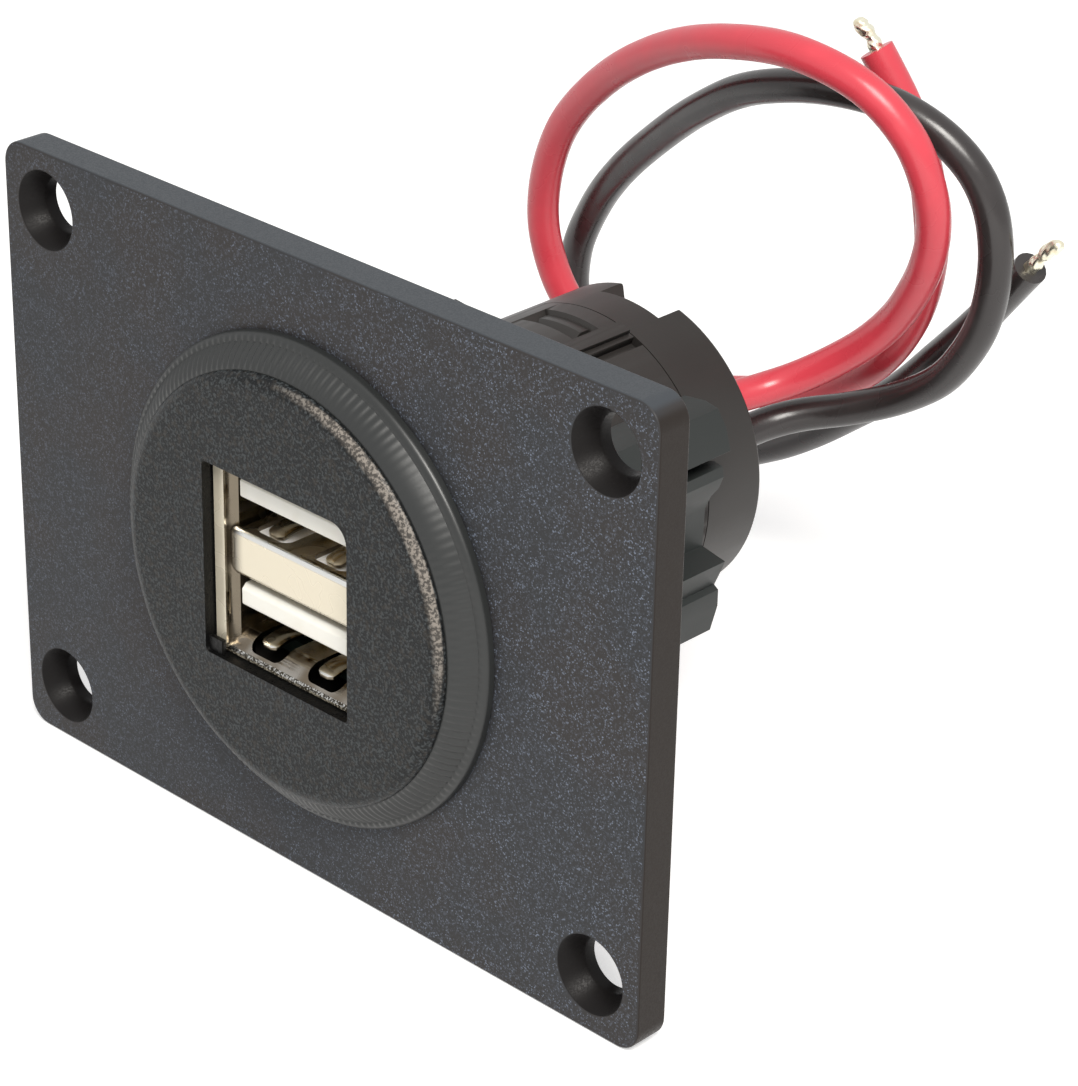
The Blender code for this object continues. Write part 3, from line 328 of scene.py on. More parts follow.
def evenly_spaced(points, spacing):
    lengths = [0.0]
    for a, b in zip(points, points[1:]):
        lengths.append(lengths[-1] + (b - a).length)
    count = max(2, round(lengths[-1] / spacing))
    found = []
    index = 0
    for step in range(count + 1):
        wanted = lengths[-1] * step / count
        while index < len(points) - 2 and lengths[index + 1] < wanted:
            index += 1
        share = (wanted - lengths[index]) / (lengths[index + 1] - lengths[index])
        found.append(points[index].lerp(points[index + 1], share))
    return found


# Objects


def linked(name, data):
    made = bpy.data.objects.new(name, data)
    bpy.context.scene.collection.objects.link(made)
    return made


def solid(bm):
    """A closed object from a bmesh, with its faces pointing out."""
    bmesh.ops.remove_doubles(bm, verts=bm.verts, dist=1e-7)
    bmesh.ops.recalc_face_normals(bm, faces=bm.faces)
    mesh = bpy.data.meshes.new("solid")
    bm.to_mesh(mesh)
    bm.free()
    return linked("solid", mesh)


def baked(obj):
    """An object with the evaluated mesh of the given one, which is removed."""
    graph = bpy.context.evaluated_depsgraph_get()
    mesh = bpy.data.meshes.new_from_object(obj.evaluated_get(graph), depsgraph=graph)
    bpy.data.objects.remove(obj, do_unlink=True)
    return linked("baked", mesh)


def carved(bm, changes):
    """Applies exact Booleans, each an operation and a solid, and returns the object."""
    target = solid(bm)
    helpers = []
    for operation, shape in changes:
        helper = solid(shape)
        helpers.append(helper)
        modifier = target.modifiers.new(operation, "BOOLEAN")
        modifier.operation = operation
        modifier.object = helper
        modifier.solver = "EXACT"
    made = baked(target)
    for helper in helpers:
        bpy.data.objects.remove(helper, do_unlink=True)
    return made


def flat_faced(obj):
    """Keeps the object's large faces flat in the shading."""
    weighted = obj.modifiers.new("Flat faces", "WEIGHTED_NORMAL")
    weighted.keep_sharp = True
    return baked(obj)


def edged(obj, width, segments=2, angle=35.0):
    """Rounds the object's sharp edges, and keeps its large faces flat in the shading."""
    obj.data.shade_smooth()
    bevel = obj.modifiers.new("Rounded edges", "BEVEL")
    bevel.width = width
    bevel.segments = segments
    bevel.limit_method = "ANGLE"
    bevel.angle_limit = math.radians(angle)
    bevel.miter_outer = "MITER_ARC"
    return flat_faced(obj)


def shaded(obj, angle):
    """Shades the object smooth, but for edges sharper than the angle."""
    obj.data.shade_smooth()
    obj.data.set_sharp_from_angle(angle=math.radians(angle))
    return obj


def finished(name, obj, material, slot, *nodes):
    """Names a piece, gives it its finish, and lets it ride on the socket in place of its CAD nodes."""
    obj.name = name
    obj.data.name = name
    obj.data.materials.clear()
    obj.data.materials.append(material)
    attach(obj, "root")
    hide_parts(*nodes)
    return obj


# Finishes


def add(tree, kind, inputs=(), **settings):
    """Adds a node whose inputs are given as values or as other nodes' outputs."""
    node = tree.nodes.new(kind)
    for name, value in settings.items():
        setattr(node, name, value)
    for key, value in dict(inputs).items():
        if isinstance(value, bpy.types.NodeSocket):
            tree.links.new(value, node.inputs[key])
        else:
            node.inputs[key].default_value = value
    return node


def maths(tree, operation, *values):
    return add(tree, "ShaderNodeMath", enumerate(values), operation=operation).outputs[0]


class Finish:
    """A material built from nodes, with short ways to add the patterns that the finishes share."""

    def __init__(self, name, colour, roughness, metallic=0.0, specular=0.5):
        self.material = bpy.data.materials.new(name)
        self.material.use_nodes = True
        self.tree = self.material.node_tree
        self.sockets = self.tree.nodes["Principled BSDF"].inputs
        self.sockets["Base Color"].default_value = (*colour[:3], 1.0)
        self.sockets["Roughness"].default_value = roughness
        self.sockets["Metallic"].default_value = metallic
        self.sockets["Specular IOR Level"].default_value = specular
        coordinates = self.add("TexCoord").outputs
        self.place, self.looking = coordinates["Object"], coordinates["Normal"]
        self.x, self.y, self.z = self.add("SeparateXYZ", {0: self.place}).outputs

    def add(self, kind, inputs=(), **settings):
        return add(self.tree, "ShaderNode" + kind, inputs, **settings)

    def drive(self, socket, value):
        self.tree.links.new(value, self.sockets[socket])

    def product(self, *factors):
        total = factors[0]
        for factor in factors[1:]:
            total = maths(self.tree, "MULTIPLY", total, factor)
        return total

    def below(self, coordinate, limit):
        return maths(self.tree, "LESS_THAN", coordinate, limit)

    def above(self, coordinate, limit):
        return maths(self.tree, "GREATER_THAN", coordinate, limit)

    def within(self, coordinate, middle, reach):
        away = maths(self.tree, "ABSOLUTE", maths(self.tree, "SUBTRACT", coordinate, middle))
        return self.below(away, reach)

    def spread(self, value, low, high, to_low=0.0, to_high=1.0):
        """Runs smoothly from to_low to to_high as the value goes from low to high."""
        ends = {"Value": value, "From Min": low, "From Max": high, "To Min": to_low, "To Max": to_high}
        return self.add("MapRange", ends, interpolation_type="SMOOTHSTEP").outputs["Result"]

    def facing(self, direction, low, high):
        """Runs from 0 to 1 as the surface turns towards the direction."""
        node = self.add("VectorMath", {0: self.looking, 1: direction}, operation="DOT_PRODUCT")
        return self.spread(node.outputs["Value"], low, high)

    def scaled(self, size, stretch=(1.0, 1.0, 1.0)):
        """The place on the object, scaled for a pattern whose features are about the given size in metres."""
        scale = [1.0 / size / factor for factor in stretch]
        return self.add("Mapping", {"Vector": self.place, "Scale": scale}).outputs["Vector"]

    def noise(self, size, detail=2.0, roughness=0.5, stretch=(1.0, 1.0, 1.0)):
        place = self.scaled(size, stretch)
        inputs = {"Vector": place, "Scale": 1.0, "Detail": detail, "Roughness": roughness}
        return self.add("TexNoise", inputs).outputs["Fac"]

    def cells(self, size):
        """Random values, each the same all over a cell of about the given size in metres."""
        pattern = self.add("TexVoronoi", {"Vector": self.scaled(size), "Scale": 1.0}).outputs["Color"]
        return self.add("SeparateColor", {"Color": pattern}).outputs

    def tint(self, colour, *factors):
        """Mixes another colour over the finish's own by the product of the factors."""
        base = self.sockets["Base Color"]
        own = base.links[0].from_socket if base.is_linked else base.default_value
        inputs = {"Factor": self.product(*factors), "A": own, "B": (*colour[:3], 1.0)}
        self.drive("Base Color", self.add("Mix", inputs, data_type="RGBA").outputs["Result"])

    def roughen(self, value, low, high):
        self.drive("Roughness", self.spread(value, 0.3, 0.7, low, high))

    def emboss(self, height, depth, strength):
        """Adds a relief of the given depth in metres."""
        bump = self.add("Bump", {"Height": height, "Distance": depth, "Strength": strength})
        self.drive("Normal", bump.outputs["Normal"])


def speckled_plate(colour, painted_glint, hole_x, hole_z, mouth):
    """Moulded sheet with a fine grain and painted glints on its front, painted shade on faces turned right,
    painted light on its top, and smooth countersinks darkened by painted shade.
    """
    finish = Finish("plate_black_speckled", colour, 0.45, specular=0.12)
    finish.tint((0.038, 0.033, 0.031), finish.spread(finish.noise(0.009), 0.4, 0.65, 0.0, 0.6))
    # Painted shade: faces turned to the right are darkened.
    finish.tint((0.022, 0.018, 0.016), finish.facing(RIGHT, 0.7, 0.9))
    # Painted light: faces turned upwards are lightened to a bluish grey.
    finish.tint((0.050, 0.056, 0.064), finish.facing(UP, 0.7, 0.9))
    front = finish.facing(AHEAD, 0.9, 0.98)
    # Painted glints: pale specks over the front, thinned in patches and brighter towards the right, stand in
    # for sparkle under the lamp.
    cells = finish.cells(0.00010)
    patches = finish.spread(finish.noise(0.0020, 3.0), 0.35, 0.7, 0.6, 1.0)
    across = finish.spread(finish.x, PLATE_LOW[0], PLATE_HIGH[0], 0.45, 1.0)
    finish.tint(painted_glint, finish.spread(cells["Red"], 0.84, 1.0), patches, across, front)
    grain = finish.noise(0.00022, 3.0, 0.65)
    # Painted glints: a fainter, finer scatter of the same pale colour over the front grain.
    finish.tint(painted_glint, finish.spread(grain, 0.5, 0.75, 0.0, 0.3), front)
    # Painted shade: the countersinks are darkened to a smooth near-black, without the specks.
    squares = []
    for place, centre in ((finish.x, hole_x), (finish.z, hole_z)):
        step = maths(finish.tree, "SUBTRACT", maths(finish.tree, "ABSOLUTE", place), centre)
        squares.append(finish.product(step, step))
    countersink_shade = finish.below(maths(finish.tree, "ADD", *squares), mouth * mouth)
    finish.tint((0.009, 0.008, 0.008), countersink_shade, finish.below(finish.y, PLATE_HIGH[1] - 0.0001))
    finish.roughen(cells["Green"], 0.36, 0.5)
    finish.emboss(grain, 0.00002, 0.4)
    return finish.material


def grained_cap(colour):
    """Spark-eroded black plastic with a painted pale highlight on its edge at the upper right, and painted
    near-black shade inside the window.
    """
    finish = Finish("cap_black_grained", colour, 0.45, specular=0.16)
    grain = finish.noise(0.00024, 2.0, 0.6)
    finish.tint((0.044, 0.050, 0.053), finish.spread(grain, 0.5, 0.62))
    finish.tint((0.036, 0.030, 0.024), finish.spread(finish.noise(0.0004), 0.5, 0.7, 0.0, 0.5))
    # Painted highlight: a pale speckled band on the rounded edge where it turns towards the upper right.
    edge = finish.facing((0.54, -0.707, 0.45), 0.8, 0.93)
    finish.tint((0.24, 0.215, 0.19), edge, finish.spread(grain, 0.42, 0.6, 0.25, 1.0))
    # Painted shade: the window's walls and step are turned near-black.
    across = finish.within(finish.x, WINDOW_CENTRE[0], WINDOW_WIDTH / 2 + 0.00001)
    inside = finish.within(finish.z, WINDOW_CENTRE[1], WINDOW_HEIGHT / 2 + 0.00001)
    finish.tint((0.004, 0.004, 0.004), across, inside)
    finish.roughen(grain, 0.26, 0.46)
    finish.emboss(grain, 0.00004, 1.0)
    return finish.material


def plated_sheet(colour):
    """Nickel-plated steel, slightly tarnished and dark on its cut edge, with a painted cream reflection on
    front faces, a painted highlight on rolled edges, painted shade in its hollows and on inner faces turned
    right, a painted dark reflection at the divider's left end and a painted white reflection in the upper
    slots.
    """
    finish = Finish("nickel_plated_sheet", colour, 0.25, metallic=1.0)
    x, y, z = finish.x, finish.y, finish.z
    cloud = finish.noise(0.0022, 1.0)
    finish.tint((0.50, 0.43, 0.33), finish.spread(cloud, 0.42, 0.62, 0.0, 0.5))
    # Painted highlight: the rolled top edges are turned a pale silver.
    rolled_edge_highlight = finish.facing((0.0, -0.7, 0.7), 0.8, 0.95)
    finish.tint((0.74, 0.74, 0.72), rolled_edge_highlight, finish.below(y, SHELL_FACE + 0.001))
    # Painted reflection: front faces are turned cream and partly non-metallic, standing in for the white
    # backdrop they mirror.
    front_reflection = finish.product(finish.facing(AHEAD, 0.9, 0.975), finish.below(y, SHELL_FACE + 0.0004))
    finish.tint((0.70, 0.64, 0.51), front_reflection)
    # Painted dark reflection on the divider's rounded left end.
    divider_end_dark_reflection = (
        finish.spread(x, -0.0062, -0.0049, 0.93, 0.0),
        finish.above(x, 0.00006 - MOUTH_LEFT),
        finish.below(y, SHELL_FACE + 0.0007),
        finish.above(z, DIVIDER_BOTTOM),
        finish.below(z, DIVIDER_TOP - 0.0002),
    )
    finish.tint((0.07, 0.060, 0.047), *divider_end_dark_reflection)
    sheet_edge = SHELL_FACE + 0.0002
    inside = finish.above(y, sheet_edge)
    # Painted shade: the mouth's sloping floor behind the sheet's edge is darkened to a patchy brown.
    floor_slope_shade = finish.below(z, INNER_BOTTOM - 0.00004)
    finish.tint((0.15, 0.12, 0.085), finish.spread(cloud, 0.35, 0.65, 0.97, 0.7), floor_slope_shade, inside)
    # Painted shade: inside faces turned to the right are darkened.
    finish.tint((0.17, 0.145, 0.11), finish.facing(RIGHT, 0.1, 0.4), inside)
    cut_edge = (finish.below(y, sheet_edge), finish.below(z, INNER_BOTTOM - 0.00095))
    specks = finish.spread(finish.cells(0.0001)["Red"], 0.25, 0.5, 0.35, 1.0)
    finish.tint((0.05, 0.042, 0.03), *cut_edge, specks)
    # Painted reflection: the upward floors of the upper slots' pockets are turned white and non-metallic.
    slot_reflection = finish.product(finish.facing(UP, 0.9, 0.98), finish.within(z, DIVIDER_TOP - SHELL_WALL, 0.00006))
    finish.tint((0.92, 0.92, 0.92), slot_reflection)
    bare = finish.spread(slot_reflection, 0.0, 1.0, 1.0, 0.0)
    # Metallic drops to 0.35 under the painted front reflection and to 0 under the painted slot reflection.
    finish.drive("Metallic", finish.product(finish.spread(front_reflection, 0.0, 1.0, 1.0, 0.35), bare))
    finish.roughen(cloud, 0.16, 0.32)
    finish.emboss(finish.noise(0.00025, 1.0), 0.0000015, 0.1)
    return finish.material


def clouded(name, colour, roughness, cloud, patches, gloss, relief, **kind):
    """A finish with soft patches of another colour and gloss, and a fine relief.

    cloud is the size and detail of the patches. patches is their colour and the range that they spread over.
    gloss is the least and most roughness. relief is a size, a detail, a depth and a strength.
    """
    finish = Finish(name, colour, roughness, **kind)
    value = finish.noise(*cloud)
    if patches:
        finish.tint(patches[0], finish.spread(value, *patches[1:]))
    if gloss:
        finish.roughen(value, *gloss)
    size, detail, *depth = relief
    finish.emboss(finish.noise(size, detail), *depth)
    return finish.material


def lighter(colour, factor, lift=0.0):
    return [min(1.0, value * factor + lift) for value in colour[:3]]


def smooth_moulding(name, colour, roughness, grain=0.000006):
    """Plain moulded plastic with faint flow marks."""
    cloud = (0.004, 3.0, 0.5, (1.0, 2.5, 1.0))
    patches = (lighter(colour, 1.5), 0.4, 0.8, 0.0, 0.2)
    gloss = (roughness - 0.05, roughness + 0.06)
    return clouded(name, colour, roughness, cloud, patches, gloss, (0.00035, 3.0, grain, 0.6), specular=0.3)


def white_moulding(colour):
    patches = ((0.74, 0.70, 0.60), 0.4, 0.8, 0.0, 0.35)
    return clouded("white_insulator", colour, 0.38, (0.0020,), patches, None, (0.00012, 2.0, 0.000004, 0.5))


def lead_jacket(name, colour, roughness):
    """Extruded PVC with faint fingered spots."""
    patches = (lighter(colour, 1.35, 0.01), 0.45, 0.8, 0.0, 0.22)
    gloss = (roughness - 0.04, roughness + 0.08)
    return clouded(name, colour, roughness, (0.0035, 3.0), patches, gloss, (0.0005, 3.0, 0.000012, 0.6))


def tinned_wire(colour):
    patches = ((0.72, 0.60, 0.36), 0.45, 0.75, 0.0, 0.5)
    relief = (0.0002, 2.0, 0.00002, 0.5)
    return clouded("tinned_strands", colour, 0.26, (0.0006,), patches, (0.2, 0.4), relief, metallic=1.0)


def inner_finish(name, colour, roughness, metallic=0.0):
    """The finish of a small piece inside the barrel."""
    gloss = (max(0.05, roughness - 0.06), roughness + 0.08)
    relief = (0.0003, 2.0, 0.000005, 0.5)
    return clouded(name, colour, roughness, (0.0008,), None, gloss, relief, metallic=metallic)


# Settings


def length(name, description, default, low=0.00005, high=0.2):
    return FloatProperty(
        name=name, description=description, default=default, min=low, max=high, unit="LENGTH", precision=5
    )


def colour(name, description, default):
    return FloatVectorProperty(
        name=name, description=description, default=default, subtype="COLOR", min=0.0, max=1.0, size=3
    )


class PlateSettings(bpy.types.PropertyGroup):
    corner_radius: length("Corner radius", "Radius of the plate's four corners", 0.0020)
    edge_rounding: length("Edge rounding", "Radius of the plate's long edges", 0.0002)
    hole_inset: length("Hole inset", "Distance of each screw hole from the plate's edges", 0.00475)
    hole_diameter: length("Hole diameter", "Diameter of the screw holes", 0.0045)
    countersink_diameter: length("Countersink diameter", "Diameter of the countersinks", 0.0064)
    countersink_depth: length("Countersink depth", "Depth of the countersinks", 0.0019)
    colour: colour("Colour", "Colour of the plate", (0.034, 0.035, 0.038))
    # Painted glints: the colour of the pale specks that stand in for sparkle on the plate's front
    painted_glint: colour("Glint colour", "Colour of the pale specks in the plate", (0.17, 0.20, 0.26))


class BezelSettings(bpy.types.PropertyGroup):
    outer_radius: length("Outer radius", "Radius of the ring on the plate", 0.0194)
    rim_height: length("Rim height", "Height of the ring's outer edge", 0.0009)
    rib_height: length("Rib height", "Height of the fine radial ribs", 0.00014, 0.0, 0.001)
    rib_count: IntProperty(
        name="Rib count", description="Number of ribs round the ring", default=168, min=8, max=400
    )
    ring_colour: colour("Ring colour", "Colour of the ribbed ring", (0.019, 0.0205, 0.0205))
    cap_colour: colour("Cap colour", "Colour of the grained cap", (0.006, 0.007, 0.008))


class BarrelSettings(bpy.types.PropertyGroup):
    thread_pitch: length("Thread pitch", "Distance between the turns of the barrel's thread", 0.0015)
    thread_depth: length("Thread depth", "Depth of the barrel's thread", 0.0004)
    groove_depth: length("Groove depth", "Depth of the key groove", 0.0007)
    rib_height: length("Rib height", "Height of the guide rib", 0.0004)
    colour: colour("Barrel colour", "Colour of the barrel and its rear cap", (0.026, 0.0235, 0.022))
    nut_colour: colour("Nut colour", "Colour of the clamp nut", (0.020, 0.023, 0.0225))


class PortSettings(bpy.types.PropertyGroup):
    sheet_colour: colour("Sheet colour", "Colour of the plated sheet", (0.66, 0.60, 0.48))
    tongue_colour: colour("Tongue colour", "Colour of the ports' tongues", (0.84, 0.83, 0.77))
    slot_width: length("Slot width", "Width of the slots round the spring fingers", 0.0036)
    finger_width: length("Finger width", "Width of the spring fingers at their root", 0.0020)
    finger_rise: length("Finger rise", "Height of the spring fingers over the port floors", 0.0004)


class LeadSettings(bpy.types.PropertyGroup):
    diameter: length("Diameter", "Diameter over the leads' jackets", 0.0028)
    tip_diameter: length("Tip diameter", "Diameter of the bare tinned ends", 0.0011)
    red: colour("Red jacket", "Colour of the red lead", (0.60, 0.052, 0.074))
    black: colour("Black jacket", "Colour of the black lead", (0.026, 0.022, 0.022))
    tin: colour("Tinned end", "Colour of the bare ends", (0.84, 0.81, 0.66))


class StudioSettings(bpy.types.PropertyGroup):
    floor_colour: colour("Floor colour", "Colour of the floor", (0.82, 0.82, 0.82))
    sky: FloatProperty(
        name="Sky", description="Strength of the even light from all round", default=0.50, min=0.0
    )
    key: FloatProperty(
        name="Key", description="Power of the lamp above the camera", default=2.8, min=0.0, unit="POWER"
    )


class SocketSettings(bpy.types.PropertyGroup):
    plate: PointerProperty(type=PlateSettings)
    bezel: PointerProperty(type=BezelSettings)
    barrel: PointerProperty(type=BarrelSettings)
    ports: PointerProperty(type=PortSettings)
    leads: PointerProperty(type=LeadSettings)
    studio: PointerProperty(type=StudioSettings)


# Pieces


class SOCKET_OT_plate(bpy.types.Operator):
    """Build the mounting plate with its four countersunk holes"""

    bl_idname = "power_socket.plate"
    bl_label = "Mounting Plate"

    def execute(self, context):
        sizes = context.scene.power_socket.plate
        width = PLATE_HIGH[0] - PLATE_LOW[0]
        height = PLATE_HIGH[2] - PLATE_LOW[2]
        levels = rounding(sizes.edge_rounding, 5)
        front = [(PLATE_FRONT + depth, inset) for inset, depth in levels]
        back = [(PLATE_HIGH[1] - depth, inset) for inset, depth in reversed(levels)]
        sections = []
        for y, inset in front + back:
            corners = [sizes.corner_radius - inset] * 4
            sections.append(at_depth(rounded_rectangle(width - 2 * inset, height - 2 * inset, corners), y))
        past = PLATE_THICKNESS
        bore = BARREL_RADIUS + SLIDING_GAP
        changes = [(CUT, round_bar(((PLATE_FRONT - past, bore), (past, bore)), steps=128))]
        hole = sizes.hole_diameter / 2
        mouth = sizes.countersink_diameter / 2
        lip = 0.00008
        levels = (
            (PLATE_FRONT - past, mouth + 2 * lip),
            (PLATE_FRONT - lip, mouth + 2 * lip),
            (PLATE_FRONT + lip * 0.3, mouth + lip * 0.3),
            (PLATE_FRONT + lip, mouth - lip * 0.6),
            (PLATE_FRONT + sizes.countersink_depth - lip, hole + lip),
            (PLATE_FRONT + sizes.countersink_depth + lip, hole),
            (PLATE_HIGH[1] - lip, hole),
            (PLATE_HIGH[1] + lip, hole + 2 * lip),
            (past, hole + 2 * lip),
        )
        hole_x, hole_z = width / 2 - sizes.hole_inset, height / 2 - sizes.hole_inset
        for side_x in (-1, 1):
            for side_z in (-1, 1):
                changes.append((CUT, round_bar(levels, (side_x * hole_x, side_z * hole_z), 72)))
        plate = flat_faced(shaded(carved(loft(sections), changes), 35.0))
        material = speckled_plate(sizes.colour, sizes.painted_glint, hole_x, hole_z, mouth)
        finished("plate_panel", plate, material, "plate_plastic", "mounting_plate")
        return {"FINISHED"}


def bezel_profile(sizes):
    """The ring's closed (radius, y) profile: a flat crown, a hollow flank and a rounded outer edge."""
    inner = FLANGE_RADIUS + SEAT_GAP
    crown = CAP_EDGE + SEAT_GAP
    rim = FLANGE_BACK - sizes.rim_height
    roll = 0.0007
    start = CAP_RADIUS + SEAT_GAP
    end = sizes.outer_radius - roll
    profile = [(inner, FLANGE_BACK), (inner, crown), (start, crown)]
    steps = 22
    for step in range(1, steps + 1):
        share = step / steps
        hollow = 0.12 * math.sin(math.pi * share)
        profile.append((start + (end - start) * share, crown + (rim - crown) * (share - hollow)))
    for near, far in rounding(1.0, 6)[1:]:
        profile.append((end + roll * (1 - near), rim + sizes.rim_height * 0.55 * far))
    profile.append((sizes.outer_radius, FLANGE_BACK))
    return profile, start, end


def rib_tree():
    """Geometry Nodes that raise fine radial ribs on a ring round the Y axis, fainter about a worn angle."""
    tree = bpy.data.node_groups.new("Radial ribs", "GeometryNodeTree")
    tree.interface.new_socket("Geometry", in_out="INPUT", socket_type="NodeSocketGeometry")
    names = ("Rib count", "Rib height", "Worn angle", "Wear", "Inner radius", "Outer radius", "Material")
    inputs = {}
    for name in names:
        kind = "NodeSocketMaterial" if name == "Material" else "NodeSocketFloat"
        inputs[name] = tree.interface.new_socket(name, in_out="INPUT", socket_type=kind).identifier
    tree.interface.new_socket("Geometry", in_out="OUTPUT", socket_type="NodeSocketGeometry")
    given = add(tree, "NodeGroupInput").outputs

    def times(*values):
        return maths(tree, "MULTIPLY", *values)

    place = add(tree, "GeometryNodeInputPosition").outputs[0]
    x, y, z = add(tree, "ShaderNodeSeparateXYZ", {0: place}).outputs
    angle = maths(tree, "ARCTAN2", z, x)
    wave = maths(tree, "MULTIPLY_ADD", maths(tree, "COSINE", times(angle, given["Rib count"])), 0.5, 0.5)
    radius = maths(tree, "SQRT", maths(tree, "ADD", times(x, x), times(z, z)))
    span = maths(tree, "SUBTRACT", given["Outer radius"], given["Inner radius"])
    share = maths(tree, "DIVIDE", maths(tree, "SUBTRACT", radius, given["Inner radius"]), span)
    clamped = add(tree, "ShaderNodeClamp", {"Value": share}).outputs[0]
    swell = maths(tree, "POWER", maths(tree, "SINE", times(clamped, math.pi)), 0.6)
    front = maths(tree, "LESS_THAN", y, FLANGE_BACK - 0.0004)
    towards = maths(tree, "COSINE", maths(tree, "SUBTRACT", angle, given["Worn angle"]))
    worn = maths(tree, "POWER", maths(tree, "MAXIMUM", towards, 0.0), 3.0)
    left = maths(tree, "SUBTRACT", 1.0, times(worn, given["Wear"]))
    rise = times(times(wave, swell), times(front, times(given["Rib height"], left)))
    normal = add(tree, "GeometryNodeInputNormal").outputs[0]
    offset = add(tree, "ShaderNodeVectorMath", {0: normal, "Scale": rise}, operation="SCALE").outputs[0]
    shape = {"Geometry": given["Geometry"], "Offset": offset}
    moved = add(tree, "GeometryNodeSetPosition", shape)
    real = add(tree, "GeometryNodeRealizeInstances", {0: moved.outputs[0]})
    painted = {"Geometry": real.outputs[0], "Material": given["Material"]}
    add(tree, "NodeGroupOutput", {0: add(tree, "GeometryNodeSetMaterial", painted).outputs[0]})
    return tree, inputs


class SOCKET_OT_bezel(bpy.types.Operator):
    """Build the ribbed ring round the cap"""

    bl_idname = "power_socket.bezel"
    bl_label = "Bezel Ring"

    def execute(self, context):
        sizes = context.scene.power_socket.bezel
        profile, start, end = bezel_profile(sizes)
        ring = solid(turned(profile, sizes.rib_count * 8))
        ring.data.shade_smooth()
        relief = (0.0003, 2.0, 0.000005, 0.5)
        ring_black = clouded(
            "ring_black_gloss", sizes.ring_colour, 0.3, (0.006,), None, (0.33, 0.45), relief, specular=0.45
        )
        tree, sockets = rib_tree()
        modifier = ring.modifiers.new("Radial ribs", "NODES")
        modifier.node_group = tree
        for name, value in (
            ("Rib count", float(sizes.rib_count)),
            ("Rib height", sizes.rib_height),
            ("Worn angle", math.radians(40.0)),
            ("Wear", 0.9),
            ("Inner radius", start - 0.0001),
            ("Outer radius", end + 0.0005),
            ("Material", ring_black),
        ):
            modifier[sockets[name]] = value
        ring = shaded(baked(ring), 40.0)
        finished("bezel_ribbed_ring", ring, ring_black, "ring_plastic", "bezel_ring")
        return {"FINISHED"}


def window_outline(inset):
    corners = [WINDOW_BIG_CORNER - inset] + [WINDOW_CORNER - inset] * 3
    return rounded_rectangle(WINDOW_WIDTH - 2 * inset, WINDOW_HEIGHT - 2 * inset, corners, WINDOW_CENTRE)


class SOCKET_OT_cap(bpy.types.Operator):
    """Build the grained front cap with its port window"""

    bl_idname = "power_socket.cap"
    bl_label = "Face Cap"

    def execute(self, context):
        sizes = context.scene.power_socket.bezel
        inside = WINDOW_WIDTH / 4
        profile = [(inside, CAP_FRONT)]
        for near, far in rounding(1.0, 14):
            profile.append((CAP_RADIUS - CAP_EDGE_WIDTH * near, CAP_FRONT + (CAP_EDGE - CAP_FRONT) * far))
        profile += [(FLANGE_RADIUS, CAP_EDGE), (FLANGE_RADIUS, CAP_BACK), (inside, CAP_BACK)]
        corner_z = WINDOW_CENTRE[1] - WINDOW_HEIGHT / 2
        step = box(
            (WINDOW_LEFT - WINDOW_STEP, WINDOW_LEFT + WINDOW_STEP * 1.5),
            (CAP_FRONT + SLIDING_GAP, SHELL_FACE - SLIDING_GAP),
            (corner_z - WINDOW_STEP, corner_z + WINDOW_STEP * 1.2),
        )
        window = prism(window_outline(0.0), CAP_FRONT - 0.003, CAP_BACK + 0.003)
        cap = edged(carved(turned(profile), [(CUT, window), (JOIN, step)]), 0.00008)
        finished("cap_grained", cap, grained_cap(sizes.cap_colour), "cap_plastic", "face_cap")
        return {"FINISHED"}


def thread_radius(depth, pitch, y, fade):
    """The barrel's radius at one depth along its thread, as a function of the angle."""

    def radius(degrees):
        turn = (y / pitch - degrees / 360.0) % 1.0
        flank = min(1.0, max(0.0, (abs(turn - 0.5) - 0.12) / 0.22))
        return BARREL_RADIUS - depth * (1.0 - flank) * fade

    return radius


